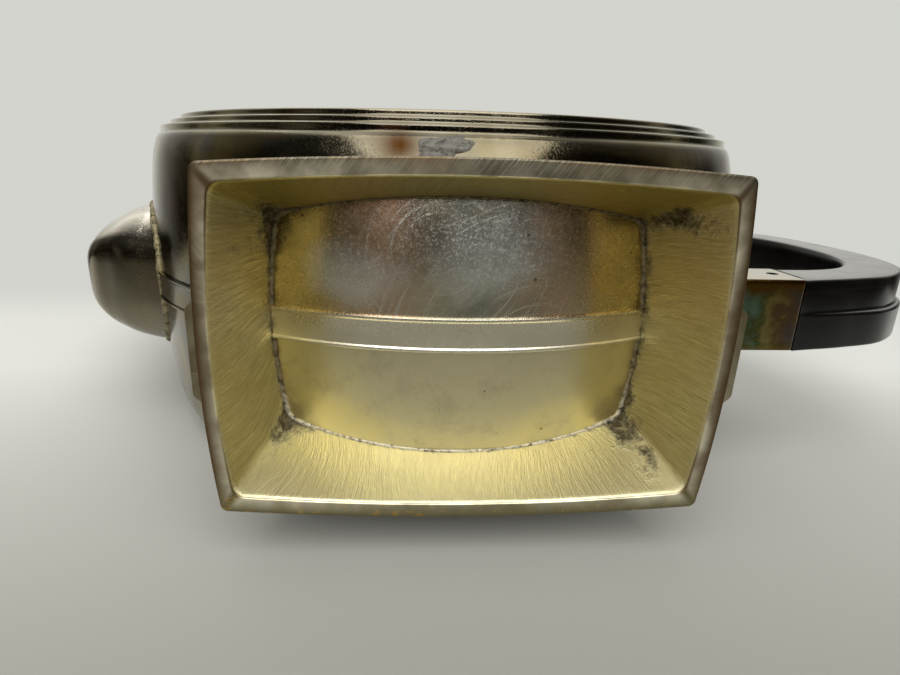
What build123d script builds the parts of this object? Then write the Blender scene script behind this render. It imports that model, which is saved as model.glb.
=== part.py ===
from build123d import *
from math import cos, radians, sin
import os

# Drum-shaped hinged-lid teapot, millimetres. Z is up and Z = 0 is the table under the foot.
# The drum's axis runs along Y, the spout points to -X and the handle to +X.
# The foot was soldered on a little nearer the handle than the middle.

# Driving dimensions
DRUM_RADIUS = 75.0
DRUM_HEIGHT = 85.0
DRUM_HALF_WIDTH = 36.2
SHEET = 0.9
BELLY_DROP = 0.0026
SHOULDER_Y = 27.0
SHOULDER_RUN = 5.6
SHOULDER_MIDDLE = (3.9, 1.2)
SHOULDER_LEAN = 0.8
RING_RADII = (70.8, 68.6, 66.4)
RING_RISE = 1.2
STRAP_HALF_WIDTH = 3.0
STRAP_THICKNESS = 0.7
FOOT_SHIFT = 0.9
FOOT_HALF_LENGTH = 39.9
FOOT_HALF_WIDTH = 27.4
FOOT_BOW = 1.5
FOOT_RIM = 2.4
FOOT_TOP = 25.0
FOOT_TAPER = 0.33
FOOT_INNER_TAPER = 0.30
FOOT_CORNER = 1.4
FOOT_INNER_CORNER = 2.2
RIB_HALF_WIDTH = 7.0
RIB_RISE = 1.1
RIB_TOP = 15.5
RIB_DEPTH = 4.0
RIB_SLOPE = 1.2
RIB_CHAMFER = 0.6
HANDLE_WIDTH = 15.0
SOCKET_HEIGHT = 12.0
SOCKET_WALL = 1.2
SOCKET_LENGTH = 34.0
SOCKET_CORNER = 0.5
LOWER_SOCKET_BOTTOM = 25.0
LOWER_SOCKET_END = 69.8
UPPER_SOCKET_BOTTOM = 108.5
UPPER_SOCKET_END = 79.0
TENON_LENGTH = 7.0
TENON_END_GAP = 0.3
TENON_ROOT = 0.5
PIN_RADIUS = 1.2
FIT = 0.05
MOUTH_HALF_LENGTH = 26.2
MOUTH_HALF_WIDTH = 17.6
MOUTH_CORNER = 3.0
MOUTH_FRAME_DEPTH = 3.2
MOUTH_FRAME_WIDTH = 1.4
LID_OVERLAP = 3.0
LID_GAP = 0.35
LID_THICKNESS = 1.2
LID_CORNER = 4.0
LID_BAND = 24.0
FLANGE_DEPTH = 3.6
FLANGE_GAP = 0.5
FLANGE_SHEET = 0.9
STRAP_END_GAP = 0.3
HINGE_ANGLE = 25.2
HINGE_RADIUS = DRUM_RADIUS + 3.2
KNUCKLE_RADIUS = 1.9
HINGE_PIN_RADIUS = 0.8
HINGE_FIT = 0.06

DRUM_CENTRE = Vector(0, 0, DRUM_HEIGHT)
DRUM_AXIS = Axis((0, 0, DRUM_HEIGHT), (0, 1, 0))
PROFILE_PLANE = Plane(origin=DRUM_CENTRE, x_dir=(0, 1, 0), z_dir=(1, 0, 0))
SIDE_PLANE = Plane.XZ
RING_STEP_Y = SHOULDER_Y + SHOULDER_RUN
TOP_OF_DRUM = DRUM_HEIGHT + DRUM_RADIUS

os.makedirs("parts", exist_ok=True)


def belly_radius(y):
    """Radius of the drum's wall at y: it falls away from the middle as y squared."""
    return DRUM_RADIUS - BELLY_DROP * y * y


def outer_profile(grow, start):
    """Outline of half a drum from y = start out to the axis, moved outward by grow."""
    middle_y = (start + SHOULDER_Y) / 2
    first = (start, belly_radius(start) + grow)
    middle = (middle_y, belly_radius(middle_y) + grow)
    wall_end = (SHOULDER_Y, belly_radius(SHOULDER_Y) + grow)
    lean = SHOULDER_LEAN * grow
    shoulder = (SHOULDER_Y + SHOULDER_MIDDLE[0] + lean, RING_RADII[0] + SHOULDER_MIDDLE[1] + lean)
    corner = (RING_STEP_Y + grow, RING_RADII[0] + grow)
    ThreePointArc(first, middle, wall_end)
    ThreePointArc(wall_end, shoulder, corner)
    points = [corner]
    for step, radius in enumerate(RING_RADII):
        level = RING_STEP_Y + grow + step * RING_RISE
        points += [(level, radius + grow), (level + RING_RISE, radius + grow)]
    points += [(points[-1][0], 0), (start, 0)]
    Polyline(*points[1:], first)


def drum_solid(name, grow, start):
    """Solid half drum, used whole as a cutter and in pairs as a shell."""
    with BuildPart() as half:
        with BuildSketch(PROFILE_PLANE):
            with BuildLine():
                outer_profile(grow, start)
            make_face()
        revolve(axis=DRUM_AXIS)
    half.part.label = name
    return half.part


def strip_ring(low, high, half_width):
    """Full ring that follows the belly, from low to high above the wall."""
    with BuildPart() as ring:
        with BuildSketch(PROFILE_PLANE):
            edge = belly_radius(half_width)
            with BuildLine():
                ThreePointArc((-half_width, edge + low), (0, DRUM_RADIUS + low), (half_width, edge + low))
                Line((half_width, edge + low), (half_width, edge + high))
                ThreePointArc((half_width, edge + high), (0, DRUM_RADIUS + high), (-half_width, edge + high))
                Line((-half_width, edge + high), (-half_width, edge + low))
            make_face()
        revolve(axis=DRUM_AXIS)
    return ring.part


def footprint(half_length, half_width, corner):
    """Upright block over the top of the drum with a rounded rectangular plan."""
    with BuildPart() as block:
        with BuildSketch(Plane.XY.offset(DRUM_HEIGHT + DRUM_RADIUS / 2)):
            RectangleRounded(2 * half_length, 2 * half_width, corner)
        extrude(amount=DRUM_RADIUS)
    return block.part


def save(piece, name):
    """Label one finished piece and write its file."""
    piece.label = name
    export_step(piece, "parts/" + name + ".step")


# Cutters that several pieces share
half_envelope = drum_solid("envelope", 0, 0)
strap_ring = strip_ring(0, STRAP_THICKNESS, STRAP_HALF_WIDTH)
with BuildPart() as wall:
    with BuildSketch(PROFILE_PLANE):
        with BuildLine():
            wall_edge = belly_radius(SHOULDER_Y)
            ThreePointArc((-SHOULDER_Y, wall_edge), (0, DRUM_RADIUS), (SHOULDER_Y, wall_edge))
            Polyline((SHOULDER_Y, wall_edge), (SHOULDER_Y, 0), (-SHOULDER_Y, 0), (-SHOULDER_Y, wall_edge))
        make_face()
        with Locations((0, DRUM_RADIUS / 2 + STRAP_THICKNESS / 2)):
            Rectangle(2 * STRAP_HALF_WIDTH, DRUM_RADIUS + STRAP_THICKNESS)
    revolve(axis=DRUM_AXIS)
wall_cutter = wall.part
mouth_cutter = footprint(MOUTH_HALF_LENGTH, MOUTH_HALF_WIDTH, MOUTH_CORNER)
lid_half_length = MOUTH_HALF_LENGTH + LID_OVERLAP
lid_half_width = MOUTH_HALF_WIDTH + LID_OVERLAP


# Spout: the shape shared by its side, front and plan outlines
SPOUT_ROOT = -60.0
SPOUT_SIDE = ((SPOUT_ROOT, 47.0), (-71.0, 49.0), (-84.0, 56.0), (-91.5, 80.0), (-108.0, 131.0),
              (-98.0, 138.0), (-74.0, 117.0), (SPOUT_ROOT, 112.0))
SPOUT_PLAN = ((SPOUT_ROOT, 21.0), (-69.0, 18.4), (-79.0, 13.4), (-85.5, 7.6), (-112.0, 6.0))
SPOUT_FRONT = ((45.0, 8.5), (53.0, 17.5), (64.0, 18.6), (80.0, 12.0), (142.0, 5.6))
SPOUT_WALL = 1.1
SPOUT_BLOCK = (25.0, 160.0, 130.0)
TIP_CUT = ((-114.0, 135.0), (-106.3, 131.4), (-98.6, 136.8), (-96.0, 148.0))
TIP_CUT_HALF_WIDTH = 20.0
TIP_BORE = ((-106.6, 131.2), (-103.5, 124.0), (-95.5, 130.5), (-98.8, 136.6), (-104.0, 140.0))
TIP_BORE_HALF_WIDTH = 4.2
PASSAGE_HEIGHT = 74.0
PASSAGE_SIZE = (22.0, 16.0)
PASSAGE_CORNER = 4.0
PASSAGE_LENGTH = 26.0


def mirrored(points):
    """Closed outline from half of it: the points, then their mirror images back."""
    return [*points, *[(a, -b) for a, b in reversed(points)]]


def spout_solid(inset):
    """Spout body cut from its three outlines, each drawn in by inset."""
    with BuildPart() as beak:
        with BuildSketch(SIDE_PLANE):
            Polygon(*SPOUT_SIDE, align=None)
            if inset:
                offset(amount=-inset, kind=Kind.INTERSECTION)
        extrude(amount=SPOUT_BLOCK[0], both=True)
        with BuildSketch(Plane.XY):
            Polygon(*mirrored(SPOUT_PLAN), align=None)
            if inset:
                offset(amount=-inset, kind=Kind.INTERSECTION)
        extrude(amount=SPOUT_BLOCK[1], mode=Mode.INTERSECT)
        with BuildSketch(Plane.YZ):
            Polygon(*[(y, z) for z, y in mirrored(SPOUT_FRONT)], align=None)
            if inset:
                offset(amount=-inset, kind=Kind.INTERSECTION)
        extrude(amount=-SPOUT_BLOCK[2], mode=Mode.INTERSECT)
    return beak.part


spout_outer = spout_solid(0)
spout_inner = spout_solid(SPOUT_WALL)
with BuildPart() as passage:
    with BuildSketch(Plane.YZ.offset(SPOUT_ROOT)):
        with Locations((0, PASSAGE_HEIGHT)):
            RectangleRounded(PASSAGE_SIZE[1], PASSAGE_SIZE[0], PASSAGE_CORNER)
    extrude(amount=-PASSAGE_LENGTH)
with BuildPart() as tip_cut:
    with BuildSketch(SIDE_PLANE):
        Polygon(*TIP_CUT, align=None)
    extrude(amount=TIP_CUT_HALF_WIDTH, both=True)
with BuildPart() as tip_bore:
    with BuildSketch(SIDE_PLANE):
        Polygon(*TIP_BORE, align=None)
    extrude(amount=TIP_BORE_HALF_WIDTH, both=True)
spout = spout_outer - spout_inner - tip_cut.part - tip_bore.part - wall_cutter
save(spout.solids().sort_by(SortBy.VOLUME)[-1], "spout")

# Strainer: pierced plate bent to the inside of the wall, behind the spout
STRAINER_HOLE = 1.1
STRAINER_PITCH = 3.4
STRAINER_ROWS = (4, 6)
STRAINER_LAP = 8.0
STRAINER_SHEET = 0.8
STRAINER_BAND = 16.0
STRAINER_DEPTH = 20.0
with BuildPart() as strainer_block:
    with BuildSketch(Plane.YZ.offset(SPOUT_ROOT)):
        with Locations((0, PASSAGE_HEIGHT)):
            RectangleRounded(PASSAGE_SIZE[1] + STRAINER_LAP, PASSAGE_SIZE[0] + STRAINER_LAP, PASSAGE_CORNER)
        with Locations((0, PASSAGE_HEIGHT)):
            with GridLocations(STRAINER_PITCH, STRAINER_PITCH, *STRAINER_ROWS):
                Circle(STRAINER_HOLE, mode=Mode.SUBTRACT)
    extrude(amount=-STRAINER_DEPTH)
strainer_ring = strip_ring(-SHEET - STRAINER_SHEET, -SHEET, STRAINER_BAND)
save(strainer_block.part & strainer_ring, "strainer")

# Body pans: shells with the mouth cut at the top and the passage cut at the spout
hollow_half = drum_solid("hollow", -SHEET, 0)
front_shell = half_envelope.mirror(Plane.XZ) - hollow_half.mirror(Plane.XZ)
back_shell = half_envelope - hollow_half
for name, shell in (("front_pan", front_shell), ("back_pan", back_shell)):
    save(shell - mouth_cutter - passage.part, name)

# Foot: flared hollow frustum with bowed sides, cut to sit on the drum
def bowed_outline(half_length, half_width, bow, corner):
    """Rectangle whose four sides swell outward by bow, with rounded corners."""
    corners = [(-half_length, -half_width), (half_length, -half_width),
               (half_length, half_width), (-half_length, half_width)]
    middles = [(0, -half_width - bow), (half_length + bow, 0), (0, half_width + bow), (-half_length - bow, 0)]
    with BuildSketch() as outline:
        with BuildLine():
            for index, middle in enumerate(middles):
                ThreePointArc(corners[index], middle, corners[(index + 1) % 4])
        make_face()
        fillet(outline.vertices(), radius=corner)
    return outline.sketch


def foot_loft(inset, taper, corner, overshoot):
    """Flared block whose sides close in by taper towards the drum, drawn in by inset at the rim."""
    with BuildPart() as block:
        for level, draw in ((-overshoot, inset), (FOOT_TOP + overshoot, inset + taper * FOOT_TOP)):
            with BuildSketch(Plane(origin=(FOOT_SHIFT, 0, level))):
                add(bowed_outline(FOOT_HALF_LENGTH - draw, FOOT_HALF_WIDTH - draw, FOOT_BOW, corner))
        loft(ruled=True)
    return block.part


foot_outer = foot_loft(0, FOOT_TAPER, FOOT_CORNER, 0)
foot_inner = foot_loft(FOOT_RIM, FOOT_INNER_TAPER, FOOT_INNER_CORNER, FIT)
foot = foot_outer - foot_inner - wall_cutter
save(foot.solids().sort_by(SortBy.VOLUME)[-1], "foot")

# Foot ribs: raised strips down the middle of the two short ends
for name, side in (("foot_rib_handle_side", 1), ("foot_rib_spout_side", -1)):
    rib_out = FOOT_HALF_LENGTH + FOOT_BOW + RIB_RISE
    rib_in = rib_out - RIB_RISE - RIB_DEPTH
    lean = FOOT_TAPER * RIB_TOP
    outline = ((rib_in, 0), (rib_out, 0), (rib_out - lean, RIB_TOP), (rib_in - lean, RIB_TOP))
    with BuildPart() as rib:
        with BuildSketch(SIDE_PLANE):
            Polygon(*[(FOOT_SHIFT + side * x, z) for x, z in outline], align=None)
        extrude(amount=RIB_HALF_WIDTH + RIB_SLOPE, both=True)
        long_edges = rib.edges().filter_by(Axis.Y, reverse=True)
        chamfer(long_edges.group_by(Axis.X)[-1 if side > 0 else 0], RIB_CHAMFER)
    strip = rib.part - foot_outer - wall_cutter
    save(strip.solids().sort_by(SortBy.VOLUME)[-1], name)

# Lid opening frame, soldered under the edge of the mouth
frame_ring = strip_ring(-SHEET - MOUTH_FRAME_DEPTH, -SHEET - FIT, LID_BAND)
frame_half_length = MOUTH_HALF_LENGTH + MOUTH_FRAME_WIDTH
frame_half_width = MOUTH_HALF_WIDTH + MOUTH_FRAME_WIDTH
frame_block = footprint(frame_half_length, frame_half_width, MOUTH_CORNER + MOUTH_FRAME_WIDTH)
save(frame_ring & frame_block - mouth_cutter, "mouth_frame")

# Lid: a panel that follows the drum, with a flange that drops into the mouth
lid_ring = strip_ring(LID_GAP, LID_GAP + LID_THICKNESS, LID_BAND)
lid_block = footprint(lid_half_length, lid_half_width, LID_CORNER)
flange_ring = strip_ring(-FLANGE_DEPTH, LID_GAP, LID_BAND)
flange_half_length = MOUTH_HALF_LENGTH - FLANGE_GAP
flange_half_width = MOUTH_HALF_WIDTH - FLANGE_GAP
flange_corner = MOUTH_CORNER - FLANGE_GAP
flange_outer = footprint(flange_half_length, flange_half_width, flange_corner)
flange_inner = footprint(flange_half_length - FLANGE_SHEET, flange_half_width - FLANGE_SHEET,
                         flange_corner - FLANGE_SHEET)

# Finial: stepped silver base, black grip, and the stud, washer and nut that hold it
STUD_RADIUS = 1.3
STUD_HOLE_START = 12.0
STUD_HOLE_LENGTH = 40.0
STUD_CHAMFER = 0.3
FINIAL_CORNER = 1.2
GRIP_FOOT = (11.5, 6.6)
GRIP_HEAD = (17.0, 7.6)
GRIP_ROUND = 0.9
GRIP_BORE_SHARE = 0.6
STUD_SHARE = 0.55
LID_UNDER = TOP_OF_DRUM + LID_GAP
LID_TOP = LID_UNDER + LID_THICKNESS
FINIAL_STEPS = ((20.0, 13.0), (17.0, 10.4), (14.2, 8.0))
STEP_HEIGHT = 1.2
BASE_TOP = LID_TOP + STEP_HEIGHT * len(FINIAL_STEPS)
GRIP_HEIGHT = 15.0
with BuildPart() as stud_hole:
    with BuildSketch(Plane.XY.offset(LID_UNDER - STUD_HOLE_START)):
        Circle(STUD_RADIUS)
    extrude(amount=STUD_HOLE_LENGTH)
save(lid_ring & lid_block - stud_hole.part, "lid")
save(flange_ring & (flange_outer - flange_inner), "lid_flange")

with BuildPart() as finial_base:
    for step, (length, width) in enumerate(FINIAL_STEPS):
        start = LID_TOP + STEP_HEIGHT * step if step else LID_TOP - STEP_HEIGHT
        with BuildSketch(Plane.XY.offset(start)):
            RectangleRounded(length, width, FINIAL_CORNER)
        extrude(amount=LID_TOP + STEP_HEIGHT * (step + 1) - start)
lid_solid_ring = strip_ring(-STUD_HOLE_START, LID_GAP + LID_THICKNESS, LID_BAND)
save(finial_base.part - lid_solid_ring - stud_hole.part, "finial_base")

with BuildPart() as finial:
    with BuildSketch(Plane.XY.offset(BASE_TOP)):
        RectangleRounded(*GRIP_FOOT, FINIAL_CORNER)
    with BuildSketch(Plane.XY.offset(BASE_TOP + GRIP_HEIGHT)):
        RectangleRounded(*GRIP_HEAD, FINIAL_CORNER)
    loft()
    fillet(finial.faces().sort_by(Axis.Z)[-1].edges(), radius=GRIP_ROUND)
    with BuildSketch(Plane.XY.offset(BASE_TOP)):
        Circle(STUD_RADIUS)
    extrude(amount=GRIP_HEIGHT * GRIP_BORE_SHARE, mode=Mode.SUBTRACT)
save(finial.part, "finial")

NUT_HEIGHT = 2.4
NUT_RADIUS = 2.9
WASHER_HEIGHT = 0.8
WASHER_RADIUS = 3.4
STUD_TAIL = 1.0
NUT_TOP = LID_UNDER - WASHER_HEIGHT
with BuildPart() as finial_stud:
    stud_bottom = NUT_TOP - NUT_HEIGHT - STUD_TAIL
    with BuildSketch(Plane.XY.offset(stud_bottom)):
        Circle(STUD_RADIUS)
    extrude(amount=BASE_TOP + GRIP_HEIGHT * STUD_SHARE - stud_bottom)
    chamfer(finial_stud.edges().filter_by(GeomType.CIRCLE), STUD_CHAMFER)
save(finial_stud.part, "finial_stud")
with BuildPart() as washer:
    with BuildSketch(Plane.XY.offset(NUT_TOP)):
        Circle(WASHER_RADIUS)
        Circle(STUD_RADIUS, mode=Mode.SUBTRACT)
    extrude(amount=WASHER_HEIGHT - FIT)
save(washer.part - lid_ring, "finial_washer")
with BuildPart() as nut:
    with BuildSketch(Plane.XY.offset(NUT_TOP - NUT_HEIGHT)):
        RegularPolygon(NUT_RADIUS, 6)
        Circle(STUD_RADIUS, mode=Mode.SUBTRACT)
    extrude(amount=NUT_HEIGHT)
save(nut.part, "finial_nut")

# Lid hinge: one pin, two knuckles on the body and one between them on the lid
HINGE_X = HINGE_RADIUS * sin(radians(HINGE_ANGLE))
HINGE_Z = DRUM_HEIGHT + HINGE_RADIUS * cos(radians(HINGE_ANGLE))
KNUCKLE_LENGTH = 7.0
LID_KNUCKLE_LENGTH = 10.0
KNUCKLE_GAP = 0.3
WEB_TRIM = 0.8
LEAF_THICKNESS = 1.0
LEAF_BAND = 16.0
LEAF_SIZE = (10.0, 27.0)
LEAF_CORNER = 1.6
LEAF_OFFSET = 4.6
WEB_REACH = (3.4, -3.0)
CLEAR = 10.0
wall_direction = (cos(radians(HINGE_ANGLE)), 0, -sin(radians(HINGE_ANGLE)))
hinge_plane = Plane(origin=(HINGE_X, 0, HINGE_Z), x_dir=wall_direction, z_dir=(0, -1, 0))
bore_radius = HINGE_PIN_RADIUS + HINGE_FIT
LEAF_DROP = HINGE_RADIUS - DRUM_RADIUS
outer_start = LID_KNUCKLE_LENGTH / 2 + KNUCKLE_GAP


def knuckle(start, length, tail):
    """Barrel round the pin with a web that runs tail along the wall (negative: to the lid)."""
    with BuildPart() as barrel:
        with BuildSketch(hinge_plane.offset(start)):
            Circle(KNUCKLE_RADIUS)
            web_low = -LEAF_DROP - WEB_TRIM / 2 if tail > 0 else -KNUCKLE_RADIUS - WEB_TRIM / 2
            with Locations((tail / 2, web_low / 2)):
                Rectangle(abs(tail), abs(web_low) - WEB_TRIM)
            Circle(bore_radius, mode=Mode.SUBTRACT)
        extrude(amount=length)
    return barrel.part


leaf_ring = strip_ring(0, LEAF_THICKNESS, LEAF_BAND)
with BuildPart() as leaf_block:
    with BuildSketch(Plane.XY.offset(DRUM_HEIGHT)):
        with Locations((HINGE_X + LEAF_OFFSET, 0)):
            RectangleRounded(*LEAF_SIZE, LEAF_CORNER)
    extrude(amount=DRUM_RADIUS + CLEAR)
body_leaf = leaf_ring & leaf_block.part
for start in (outer_start, -outer_start - KNUCKLE_LENGTH):
    body_leaf += knuckle(start, KNUCKLE_LENGTH, WEB_REACH[0]) - wall_cutter
save(body_leaf, "hinge_body_leaf")
LID_LEAF_LENGTH = 12.0
LID_LEAF_THICKNESS = 0.8
lid_face = LID_GAP + LID_THICKNESS
lid_leaf_ring = strip_ring(lid_face, lid_face + LID_LEAF_THICKNESS, LEAF_BAND)
with BuildPart() as lid_leaf_block:
    with BuildSketch(Plane.XY.offset(DRUM_HEIGHT)):
        with Locations((HINGE_X - LID_LEAF_LENGTH / 2 - HINGE_PIN_RADIUS * 2, 0)):
            Rectangle(LID_LEAF_LENGTH, LID_KNUCKLE_LENGTH)
    extrude(amount=DRUM_RADIUS + CLEAR)
lid_knuckle = knuckle(-LID_KNUCKLE_LENGTH / 2, LID_KNUCKLE_LENGTH, WEB_REACH[1])
lid_leaf = lid_knuckle - strip_ring(-CLEAR / 2, lid_face, LEAF_BAND) + (lid_leaf_ring & lid_leaf_block.part)
save(lid_leaf, "hinge_lid_leaf")
with BuildPart() as hinge_pin:
    with BuildSketch(hinge_plane.offset(-outer_start - KNUCKLE_LENGTH)):
        Circle(HINGE_PIN_RADIUS)
    extrude(amount=2 * (outer_start + KNUCKLE_LENGTH))
save(hinge_pin.part, "hinge_pin")

# Strap: cut away from the lid's spout side to the far edge of the hinge leaf
gap_start = -lid_half_length - STRAP_END_GAP
gap_end = HINGE_X + LEAF_OFFSET + LEAF_SIZE[0] / 2
with BuildPart() as strap_gap:
    with BuildSketch(Plane.XY.offset(DRUM_HEIGHT)):
        with Locations(((gap_start + gap_end) / 2, 0)):
            Rectangle(gap_end - gap_start, 2 * lid_half_width)
    extrude(amount=DRUM_RADIUS + CLEAR)
save(strap_ring - strap_gap.part - passage.part, "centre_strap")


# Handle sockets: rectangular tubes from the wall to the handle's shoulders
def socket(bottom, end):
    """Open rectangular tube along X whose inner end is cut to the drum."""
    with BuildPart() as tube:
        with BuildSketch(Plane.YZ.offset(end - SOCKET_LENGTH)):
            with Locations((0, bottom + SOCKET_HEIGHT / 2)):
                RectangleRounded(HANDLE_WIDTH, SOCKET_HEIGHT, SOCKET_CORNER)
        extrude(amount=SOCKET_LENGTH)
        with BuildSketch(Plane.YZ.offset(end - TENON_LENGTH)):
            with Locations((0, bottom + SOCKET_HEIGHT / 2)):
                Rectangle(HANDLE_WIDTH - 2 * SOCKET_WALL, SOCKET_HEIGHT - 2 * SOCKET_WALL)
        extrude(amount=TENON_LENGTH, mode=Mode.SUBTRACT)
    return tube.part - wall_cutter


def pin_at(bottom, end, radius):
    """Cross pin through a socket and the tenon inside it."""
    with BuildPart() as rod:
        with BuildSketch(SIDE_PLANE.offset(-HANDLE_WIDTH / 2)):
            with Locations((end - TENON_LENGTH / 2, bottom + SOCKET_HEIGHT / 2)):
                Circle(radius)
        extrude(amount=HANDLE_WIDTH)
    return rod.part


SOCKETS = (("lower_handle_socket", LOWER_SOCKET_BOTTOM, LOWER_SOCKET_END),
           ("upper_handle_socket", UPPER_SOCKET_BOTTOM, UPPER_SOCKET_END))
pins = []
pin_holes = []
tenons = []
for name, bottom, end in SOCKETS:
    hole = pin_at(bottom, end, PIN_RADIUS + FIT / 2)
    tube = socket(bottom, end) - hole
    save(tube.solids().sort_by(SortBy.VOLUME)[-1], name)
    pins.append(pin_at(bottom, end, PIN_RADIUS))
    pin_holes.append(hole)
    with BuildPart() as tenon:
        with BuildSketch(Plane.YZ.offset(end - TENON_LENGTH + TENON_END_GAP)):
            with Locations((0, bottom + SOCKET_HEIGHT / 2)):
                Rectangle(HANDLE_WIDTH - 2 * SOCKET_WALL - 2 * FIT, SOCKET_HEIGHT - 2 * SOCKET_WALL - 2 * FIT)
        extrude(amount=TENON_LENGTH + TENON_ROOT)
    tenons.append(tenon.part)
save(Compound(children=pins), "handle_pins")

# Handle: flat D loop, its outer face stepped along the middle
GRIP_REACH = 112.0
STEP_OUT = 1.4
SHOULDER_INSET = 0.15
LOOP_LOW = (95.0, 31.8)
LOOP_CORNER = (106.2, 42.5)
LOOP_REACH_HEIGHT = 72.0
LOOP_UPPER = (106.6, 100.0)
LOOP_HIGH = (96.0, 113.5)
HOLE_POINTS = ((92.0, 101.0), (100.4, 74.0), (91.0, 43.6))
OUTER_TANGENTS = ((1, 0.12), (-1, 0.3))
INNER_TANGENTS = ((1, -0.3), (-1, -0.25))
low_out = LOWER_SOCKET_BOTTOM + SHOULDER_INSET
low_in = LOWER_SOCKET_BOTTOM + SOCKET_HEIGHT - SHOULDER_INSET
high_in = UPPER_SOCKET_BOTTOM + SHOULDER_INSET
high_out = UPPER_SOCKET_BOTTOM + SOCKET_HEIGHT - SHOULDER_INSET


def loop_sketch(reach):
    """Outline of the loop, its outside reaching out to reach."""
    shift = reach - GRIP_REACH
    low_end = LOWER_SOCKET_END + SHOULDER_INSET
    high_end = UPPER_SOCKET_END + SHOULDER_INSET
    low = (LOOP_LOW[0] + shift / 2, LOOP_LOW[1] - shift / 2)
    corner = (LOOP_CORNER[0] + shift, LOOP_CORNER[1])
    upper = (LOOP_UPPER[0] + shift, LOOP_UPPER[1])
    high = (LOOP_HIGH[0] + shift / 2, LOOP_HIGH[1])
    with BuildSketch() as loop:
        with BuildLine():
            outer = Spline((low_end, low_out), low, corner, (reach, LOOP_REACH_HEIGHT), upper, high,
                           (high_end, high_out), tangents=OUTER_TANGENTS)
            Line(outer @ 1, (high_end, high_in))
            inner = Spline((high_end, high_in), *HOLE_POINTS, (low_end, low_in), tangents=INNER_TANGENTS)
            Line(inner @ 1, outer @ 0)
        make_face()
    return loop.sketch


with BuildPart() as handle:
    with BuildSketch(SIDE_PLANE):
        add(loop_sketch(GRIP_REACH - STEP_OUT))
    extrude(amount=HANDLE_WIDTH / 2)
    with BuildSketch(SIDE_PLANE):
        add(loop_sketch(GRIP_REACH))
    extrude(amount=-HANDLE_WIDTH / 2)
    for tenon_part in tenons:
        add(tenon_part)
    for hole in pin_holes:
        add(hole, mode=Mode.SUBTRACT)
save(handle.part, "handle")

# Solder patch: thin lump on the shoulder
PATCH_RISE = 0.45
PATCH_BLOTS = (((-4.8, -31.0), (4.6, 2.0)), ((-1.6, -29.6), (2.4, 1.6)))
PATCH_REACH = 40.0
patch_envelope = drum_solid("patch", PATCH_RISE, 0)
patch_shell = patch_envelope.mirror(Plane.XZ) - half_envelope.mirror(Plane.XZ)
with BuildPart() as patch_block:
    with BuildSketch(Plane.XY):
        for place, radii in PATCH_BLOTS:
            with Locations(place):
                Ellipse(*radii)
    extrude(amount=PATCH_REACH)
save(patch_shell & patch_block.part, "solder_patch")
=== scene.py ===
"""Silver drum teapot on its side: every visible surface and finish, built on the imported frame."""
from math import radians

import bmesh
import bpy
import numpy as np
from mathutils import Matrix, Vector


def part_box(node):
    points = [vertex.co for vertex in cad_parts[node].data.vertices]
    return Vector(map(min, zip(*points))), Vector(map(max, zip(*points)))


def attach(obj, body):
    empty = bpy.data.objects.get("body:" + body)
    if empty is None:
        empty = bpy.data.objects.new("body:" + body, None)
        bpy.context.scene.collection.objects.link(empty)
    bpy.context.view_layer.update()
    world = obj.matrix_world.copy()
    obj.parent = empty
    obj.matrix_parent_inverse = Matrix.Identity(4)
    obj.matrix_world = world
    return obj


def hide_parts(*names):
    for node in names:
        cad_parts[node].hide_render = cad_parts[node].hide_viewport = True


bl_info = {
    "name": "Silver Drum Teapot",
    "version": (1, 0, 0),
    "blender": (4, 5, 0),
    "location": "View3D > Sidebar > Teapot",
    "description": "Builds the surfaces, finishes and stage of a silver drum teapot on its frame",
    "category": "Object",
}

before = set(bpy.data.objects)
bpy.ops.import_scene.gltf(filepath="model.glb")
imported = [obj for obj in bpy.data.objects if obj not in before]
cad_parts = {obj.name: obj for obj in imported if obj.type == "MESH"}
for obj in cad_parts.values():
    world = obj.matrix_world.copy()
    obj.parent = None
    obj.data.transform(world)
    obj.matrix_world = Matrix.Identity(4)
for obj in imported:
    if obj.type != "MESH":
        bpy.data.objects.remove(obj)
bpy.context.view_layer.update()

# Shape, in millimetres, read from the frame where the frame holds it
MM = 0.001
PAN_LOW, PAN_HIGH = (np.array(corner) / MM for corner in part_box("front_pan"))
DRUM_RADIUS = (PAN_HIGH[0] - PAN_LOW[0]) / 2
DRUM_Z = PAN_LOW[2] + DRUM_RADIUS
DRUM_HALF = -PAN_LOW[1]
STRAP_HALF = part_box("centre_strap")[1][1]
BELLY_DROP = 0.0026
SHEET = 0.9
MOUTH_HALF = (26.2, 17.6)
PASSAGE_HALF = (8.0, 11.0)
PASSAGE_Z = 74.0
FOOT_HALF = (39.9, 27.4)
FOOT_BOW = 1.5
FOOT_MIDDLE = 0.9
OUTER_TAPER, INNER_TAPER = 0.33, 0.31
LID_HALF = (29.2, 20.6)
LID_GAP = 0.35
SOCKET_SIZE = (15.0, 12.0)
LOWER_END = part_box("lower_handle_socket")[1][0] / MM
UPPER_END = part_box("upper_handle_socket")[1][0] / MM
LOWER_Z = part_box("lower_handle_socket")[0][2] / MM
UPPER_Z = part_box("upper_handle_socket")[0][2] / MM
HANDLE_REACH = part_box("handle")[1][0] / MM
FINIAL_BASE_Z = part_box("finial_base")[0][2] / MM
FINIAL_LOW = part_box("finial")[0][2] / MM
FINIAL_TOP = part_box("finial")[1][2] / MM
LID_TOP = DRUM_Z + DRUM_RADIUS + LID_GAP + 1.2


# ---------------------------------------------------------------- settings

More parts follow.
